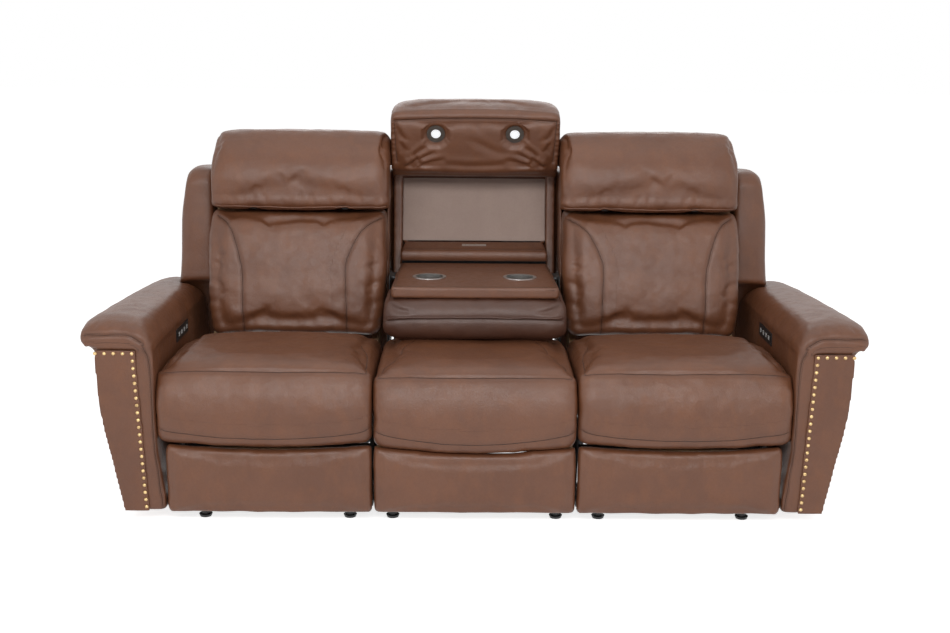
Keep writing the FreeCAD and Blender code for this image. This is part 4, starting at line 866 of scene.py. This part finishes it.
seat_middle = seat("seat_middle", "seat_cushion_center", MIDDLE_TOP, MIDDLE_LOW, middle_corners, 2)


def stretch_edge(obj, start, reach, move, front):
    """Moves the edge of a piece by move in height. Points follow from start on, fully after reach."""
    points = points_of(obj)
    share = np.clip((points[:, 2] - start) / reach, 0, 1) * (points[:, 1] < front)
    points[:, 2] += move * share
    move_points(obj, points)
    return obj


def seat_creases(obj):
    side = 1.0 if obj.name.endswith("right") else -1.0
    for k in range(7):
        x = side * (0.36 + 0.085 * k)
        top = (x, -0.508, 0.415 - 0.01 * (k % 3))
        crease(obj, [top, (x + side * 0.014, -0.514, 0.35)], 0.0007, 0.010)
    waves(obj, 0.0012, 0.045, 4 + side)


stretch_edge(seat_middle, 0.262, -0.040, -0.007, -0.42)
both_sides(seat_right, "seat", "base", ["seat_cushion"], change=seat_creases)
dress(seat_middle, "base", LEATHER, ["seat_cushion_center"])

# %% [markdown]
# The lower front panels. The outer two are the footrests. They are thin pads over a board, with a
# rolled edge all round and fine puckers where the cover is pulled over the top edge.

# %% Front panels
def front_panel(name, node_name, seed):
    obj = from_solid(name, node_name)
    low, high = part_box(node_name)
    even_skin(obj, 0.009, 4)
    fill(obj, 4.0, 0.007, lambda p: (p[:, 1] > high.y - 0.014).astype(float))
    inside_box(obj, (low.x - 0.0005, low.y - 0.005, low.z), (high.x + 0.0005, high.y, high.z + 0.001))
    finer(obj)
    waves(obj, 0.0016, 0.09, seed)
    width = high.x - low.x
    for k in range(14):
        x = low.x + width * (k + 0.5) / 14
        top = high.z - 0.016
        foot = (x + 0.006 * math.sin(k * 2.3), low.y, top - 0.045 - 0.02 * (k % 3))
        crease(obj, [(x, low.y, top), foot], 0.0009, 0.007)
    return obj


panel_right = front_panel("panel_right", "footrest_pad_right", 5)
both_sides(panel_right, "footrest_cover", "footrest", ["footrest_pad"],
           change=lambda o: waves(o, 0.001, 0.06, 6 if o.name.endswith("right") else 7))
panel_middle = front_panel("panel_middle", "front_panel_center", 8)
stretch_edge(panel_middle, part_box("front_panel_center")[1].z - 0.035, 0.030, 0.0095, 1.0)
dress(panel_middle, "base", LEATHER, ["front_panel_center"])

# %% [markdown]
# The arms. A pillow top rolls over the outer side and down into the inner face. At the front a
# double-stitched seam turns it down into a cap, and a second one runs down the inner front corner.
# The pillow and the box under it share one remeshed skin, so no joint shows on the inner face.

# %% Arms
def arm():
    obj = from_solid("arm", "arm_pad_right", "arm_body_right")
    even_skin(obj, 0.011, 4)
    fill(obj, 3.0, 0.006, lambda p: np.clip((0.50 - p[:, 2]) / 0.06, 0, 1))
    low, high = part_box("arm_body_right")
    pad_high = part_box("arm_pad_right")[1]
    points = points_of(obj)
    toe_in = np.clip((0.236 - points[:, 2]) / 0.16, 0, 1) * 0.0208
    inner = np.where(points[:, 2] < 0.53, 0.9312 - toe_in, 0.925)
    points[:, 0] = np.maximum(points[:, 0], inner)
    points[:, 1] = np.clip(points[:, 1], low.y - 0.012, high.y)
    points[:, 2] = np.clip(points[:, 2], low.z, pad_high.z + 0.003)
    move_points(obj, points)
    finer(obj)
    waves(obj, 0.0016, 0.11, 9)
    seam(obj, [(1.133, -0.507, 0.578), (1.067, -0.507, 0.572), (1.013, -0.507, 0.575),
               (0.988, -0.507, 0.567), (0.960, -0.507, 0.549)], 0.0045, 0.007)
    seam(obj, [(0.956, -0.500, 0.535), (0.940, -0.500, 0.471), (0.936, -0.500, 0.281),
               (0.926, -0.500, 0.141), (0.918, -0.500, 0.045)], 0.0028, 0.006)
    seam(obj, [(1.112, -0.500, 0.528), (1.050, -0.500, 0.526), (0.985, -0.500, 0.525)],
         0.0055, 0.007, rows=0.0)
    for x in (1.10, 1.06, 1.02, 0.985):
        crease(obj, [(x, -0.500, 0.582), (x - 0.006, -0.470, 0.612)], 0.0016, 0.007)
    return obj


arm_right = arm()
both_sides(arm_right, "arm_cover", "base", ["arm_pad", "arm_body"],
           change=lambda o: waves(o, 0.0008, 0.05, 11 if o.name.endswith("right") else 12))


# %% [markdown]
# The inset panel on the front of each arm is a flat leather panel, nailed along its top and inner
# edges. The cover dips a little round each nail, which is what makes the row look hammered in.

# %% Arm front panels
NAIL_TOP_Z = 0.517
NAIL_OUTER_X = 1.094
NAIL_CORNER_X = 0.989
NAIL_FOOT = (0.966, 0.054)
NAILS_ACROSS = 4
NAILS_DOWN = 21


def nail_places():
    across = [(NAIL_OUTER_X + (NAIL_CORNER_X - NAIL_OUTER_X) * i / NAILS_ACROSS, NAIL_TOP_Z)
              for i in range(NAILS_ACROSS + 1)]
    down = [(NAIL_CORNER_X + (NAIL_FOOT[0] - NAIL_CORNER_X) * i / NAILS_DOWN,
             NAIL_TOP_Z + (NAIL_FOOT[1] - NAIL_TOP_Z) * i / NAILS_DOWN) for i in range(1, NAILS_DOWN + 1)]
    return across + down


def arm_front():
    obj = from_solid("arm_front", "arm_front_panel_right")
    even_skin(obj, 0.0035, 2)
    shade_smooth(obj.data)
    points = points_of(obj)
    face = points[:, 1] < -0.5025
    dip = np.zeros(len(points))
    for x, z in nail_places():
        reach = np.hypot(points[:, 0] - x, points[:, 2] - z)
        dip = np.maximum(dip, np.exp(-(reach / 0.009) ** 2))
    points[:, 1] += np.where(face, 0.0016 * dip, 0.0)
    points[:, 1] -= np.where(face, 0.0015 * np.clip((points[:, 0] - 0.97) / 0.03, 0, 1), 0.0)
    move_points(obj, points)
    waves(obj, 0.0006, 0.06, 13)
    return obj


both_sides(arm_front(), "arm_inset", "base", ["arm_front_panel"])

# %% [markdown]
# The backs of the outer seats: a tall cushion with two curved double-stitched seams that part the
# middle from the side panels, and a headrest pillow over it with a corded lower edge.

# %% Back cushions and headrests
def back_cushion():
    obj = from_solid("back", "back_cushion_right")
    low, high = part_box("back_cushion_right")
    even_skin(obj, 0.012, 5, 0.001)
    fill(obj, 5.0, 0.022, lambda p: (p[:, 1] > 0.13 + (p[:, 2] - 0.45) * 0.28).astype(float))
    inside_box(obj, (low.x - 0.003, low.y - 0.014, low.z - 0.001),
               (high.x + 0.0003, high.y + 0.002, high.z + 0.003))
    finer(obj)
    waves(obj, 0.0030, 0.11, 14)
    seam(obj, [(0.300, 0.150, 0.836), (0.345, 0.135, 0.808), (0.381, 0.128, 0.771), (0.413, 0.110, 0.706),
               (0.424, 0.098, 0.660), (0.421, 0.060, 0.550), (0.419, 0.043, 0.458)], 0.0038, 0.007)
    seam(obj, [(0.850, 0.150, 0.836), (0.815, 0.135, 0.805), (0.792, 0.125, 0.762), (0.770, 0.106, 0.690),
               (0.762, 0.097, 0.655), (0.759, 0.060, 0.550), (0.757, 0.046, 0.460)], 0.0038, 0.007)
    return obj


def back_folds(obj):
    """Shallow folds near the foot of the back and along its seams."""
    side = 1.0 if obj.name.endswith("right") else -1.0
    for k in range(5):
        x = side * (0.46 + 0.065 * k)
        top = (x + side * 0.02 * math.sin(k * 1.9), 0.055, 0.53 + 0.01 * (k % 2))
        crease(obj, [(x, 0.05, 0.475), top], 0.0018, 0.011)
    for k in range(4):
        z = 0.50 + 0.062 * k
        crease(obj, [(side * 0.30, 0.10, z), (side * 0.37, 0.07, z - 0.02)], 0.0022, 0.010)
        crease(obj, [(side * 0.875, 0.12, z), (side * 0.81, 0.08, z - 0.02)], 0.0022, 0.010)
    waves(obj, 0.0015, 0.05, 15 + side)


back_right = back_cushion()
both_sides(back_right, "back_cover", "back", ["back_cushion"], change=back_folds)


def headrest():
    obj = from_solid("headrest", "headrest_right")
    low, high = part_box("headrest_right")
    even_skin(obj, 0.011, 5, 0.001)
    fill(obj, 6.0, 0.020, lambda p: (p[:, 1] > high.y - 0.09).astype(float))
    inside_box(obj, (low.x + 0.0005, low.y - 0.010, low.z),
               (high.x + 0.006, high.y, high.z + 0.006))
    finer(obj)
    waves(obj, 0.0022, 0.12, 17)
    return obj


HEAD_LOW = [(0.292, 0.140, 0.861), (0.380, 0.128, 0.850), (0.470, 0.124, 0.845), (0.600, 0.123, 0.841),
            (0.740, 0.124, 0.843), (0.810, 0.127, 0.848), (0.862, 0.140, 0.858)]


def headrest_folds(obj):
    side = 1.0 if obj.name.endswith("right") else -1.0
    for k in range(11):
        x = side * (0.32 + 0.052 * k)
        top = (x + side * 0.012 * math.sin(2.1 * k), 0.118, 0.895 + 0.012 * (k % 3))
        crease(obj, [(x, 0.125, 0.857), top], 0.0020, 0.008)
    waves(obj, 0.0012, 0.05, 19 + side)


head_right = headrest()
seam(head_right, [(x, y, z + 0.006) for x, y, z in HEAD_LOW], 0.0030, 0.006, rows=0.0)
head_right, head_left = both_sides(head_right, "headrest_cover", "headrest", ["headrest"],
                                   change=headrest_folds)
for side, item in (("_right", head_right), ("_left", head_left)):
    sign = 1.0 if side == "_right" else -1.0
    cord = piping("headrest_cord" + side, item, [(sign * x, y - 0.006, z) for x, y, z in HEAD_LOW])
    dress(cord, "headrest" + side, LEATHER)

# %% [markdown]
# The wings beside the backs and the outside backs are leather drawn tight over boards, so they are
# flat with soft edges. A remesh with some smoothing is enough, and no simulation is run.

# %% Wings, outside backs and posts
def tight_cover(name, node_name, voxel, rounds, amount, seed, size=0.10):
    obj = from_solid(name, node_name)
    even_skin(obj, voxel, rounds)
    shade_smooth(obj.data)
    waves(obj, amount, size, seed)
    return obj


both_sides(tight_cover("wing", "back_wing_right", 0.007, 6, 0.0012, 21), "wing_cover", "back",
           ["back_wing"])
both_sides(tight_cover("outside", "outside_back_right", 0.006, 3, 0.0006, 22), "outside_cover", "back",
           ["outside_back"])
dress(tight_cover("outside_cover_middle", "outside_back_center", 0.007, 3, 0.0006, 23), "base",
      LEATHER, ["outside_back_center"])
dress(tight_cover("recess_posts", "center_back_frame", 0.0055, 3, 0.0005, 24), "base", LEATHER,
      ["center_back_frame"])
dress(tight_cover("recess_lining", "recess_liner", 0.003, 1, 0.0008, 25, 0.12), "base", LINING,
      ["recess_liner"])

# %% [markdown]
# The middle headrest, flipped up, shows its underside to the front with the two lamps. The cover is
# loose there: folds run in from the lower corners, where the pivots hold it.

# %% Middle headrest
LAMP_X = 0.131


def middle_headrest():
    obj = from_solid("middle_headrest", "center_headrest")
    low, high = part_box("center_headrest")
    even_skin(obj, 0.008, 4)

    def held(p):
        lamps = np.minimum(np.hypot(np.abs(p[:, 0]) - LAMP_X, p[:, 2] - 1.10), 0.08)
        return np.maximum((lamps < 0.045).astype(float), (p[:, 2] < 0.965).astype(float))

    fill(obj, 5.0, 0.010, held)
    inside_box(obj, low - Vector((0.004, 0.006, 0.0)), high + Vector((0.004, 0.004, 0.005)))
    finer(obj)
    waves(obj, 0.0014, 0.09, 26)
    seam(obj, [(-0.268, 0.192, 1.142), (-0.117, 0.190, 1.149), (0.0, 0.190, 1.150), (0.117, 0.190, 1.149),
               (0.268, 0.192, 1.142)], 0.0045, 0.006)
    for side in (-1.0, 1.0):
        seam(obj, [(side * 0.268, 0.195, 1.138), (side * 0.266, 0.225, 1.07),
                   (side * 0.262, 0.250, 1.005)], 0.004, 0.006, rows=0.0)
        for reach, rise in ((0.105, 0.055), (0.140, 0.028), (0.125, 0.004), (0.085, 0.085)):
            halfway = (side * (0.235 - reach * 0.5), 0.25, 0.985 + rise * 0.6)
            tip = (side * (0.235 - reach), 0.24, 0.985 + rise)
            crease(obj, [(side * 0.235, 0.258, 0.985), halfway, tip], 0.0052, 0.0085)
        crease(obj, [(side * 0.255, 0.205, 1.125), (side * 0.225, 0.222, 1.075)], 0.003, 0.009)
    crease(obj, [(-0.15, 0.25, 1.0), (0.0, 0.255, 0.992), (0.16, 0.25, 1.003)], 0.003, 0.011)
    crease(obj, [(-0.03, 0.215, 1.09), (0.06, 0.23, 1.045), (0.12, 0.235, 1.035)], 0.002, 0.012)
    return obj


dress(middle_headrest(), "headrest_center", LEATHER, ["center_headrest"])

# %% [markdown]
# The console: the folded middle back. A firm leather-covered table carries two stainless cups, and
# under it lies the soft front of the closed back, drawn in behind a corded seam.

# %% Console
def console_cushion():
    obj = from_solid("console_pillow", "console_cushion")
    low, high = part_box("console_cushion")
    even_skin(obj, 0.009, 4)
    fill(obj, 5.0, 0.012, lambda p: (p[:, 2] > high.z - 0.012).astype(float) * (p[:, 1] > -0.15))
    inside_box(obj, (low.x - 0.003, low.y - 0.012, low.z - 0.002), (high.x + 0.003, high.y, high.z))
    finer(obj)
    waves(obj, 0.0022, 0.08, 27)
    seam(obj, [(-0.284, -0.185, 0.547), (-0.20, -0.188, 0.554), (0.0, -0.190, 0.557),
               (0.20, -0.188, 0.555), (0.284, -0.185, 0.551)], 0.0040, 0.007, rows=0.0)
    for side in (-1.0, 1.0):
        for k in range(4):
            crease(obj, [(side * (0.278 - 0.004 * k), -0.15 - 0.01 * k, 0.603 - 0.008 * k),
                         (side * (0.245 - 0.02 * k), -0.18, 0.588 - 0.004 * k)], 0.0035, 0.007)
    return obj


pillow = console_cushion()
# Painted shade: the cushion and its cord take the darker copy of the leather, for the table above them.
dress(pillow, "console", SHADED_CONSOLE_LEATHER, ["console_cushion"])
CONSOLE_LOW = [(-0.280, -0.187, 0.550), (-0.20, -0.192, 0.556), (0.0, -0.194, 0.559),
               (0.20, -0.192, 0.557), (0.280, -0.187, 0.554)]
cord = piping("console_cord", pillow, CONSOLE_LOW, 0.0025)
dress(cord, "console", SHADED_CONSOLE_LEATHER)


def part_of(obj, name, wanted):
    """A new object with only those faces of obj whose middle is wanted."""
    mesh = obj.data
    faces = [tuple(p.vertices) for p in mesh.polygons if wanted(p.center)]
    used = sorted({i for face in faces for i in face})
    place = {old: new for new, old in enumerate(used)}
    points = [tuple(mesh.vertices[i].co) for i in used]
    out = bpy.data.meshes.new(name)
    out.from_pydata(points, [], [tuple(place[i] for i in face) for face in faces])
    shade_smooth(out)
    part = bpy.data.objects.new(name, out)
    scene.collection.objects.link(part)
    return part


BOARD_SIDE = 0.2635


def table():
    """Leather-covered board and its steel arms, both cut from the solid of the table."""
    whole = from_solid("console_table_whole", "console_table")
    even_skin(whole, 0.0042, 2)
    top = part_of(whole, "console_table_top", lambda p: abs(p.x) <= BOARD_SIDE)
    arms = part_of(whole, "console_arms", lambda p: abs(p.x) > BOARD_SIDE)
    bpy.data.objects.remove(whole)
    waves(top, 0.0004, 0.09, 28)
    seam(top, [(-0.252, -0.139, 0.650), (0.0, -0.139, 0.650), (0.252, -0.139, 0.650)], 0.0012, 0.006)
    seam(top, [(-0.255, -0.13, 0.650), (-0.2475, 0.285, 0.650)], 0.0010, 0.006)
    seam(top, [(0.255, -0.13, 0.650), (0.2475, 0.285, 0.650)], 0.0010, 0.006)
    return top, arms


table_top, table_arms = table()
dress(table_top, "console", LEATHER, ["console_table"])
dress(table_arms, "console", BLACK_STEEL)


def box_lid():
    obj = from_solid("box_lid_cover", "box_lid")
    even_skin(obj, 0.0042, 3)
    shade_smooth(obj.data)
    waves(obj, 0.0007, 0.08, 29)
    seam(obj, [(-0.246, 0.321, 0.696), (0.0, 0.321, 0.696), (0.246, 0.321, 0.696)],
         0.0012, 0.006, rows=0.0)
    return obj


dress(box_lid(), "lid", LEATHER, ["box_lid"])
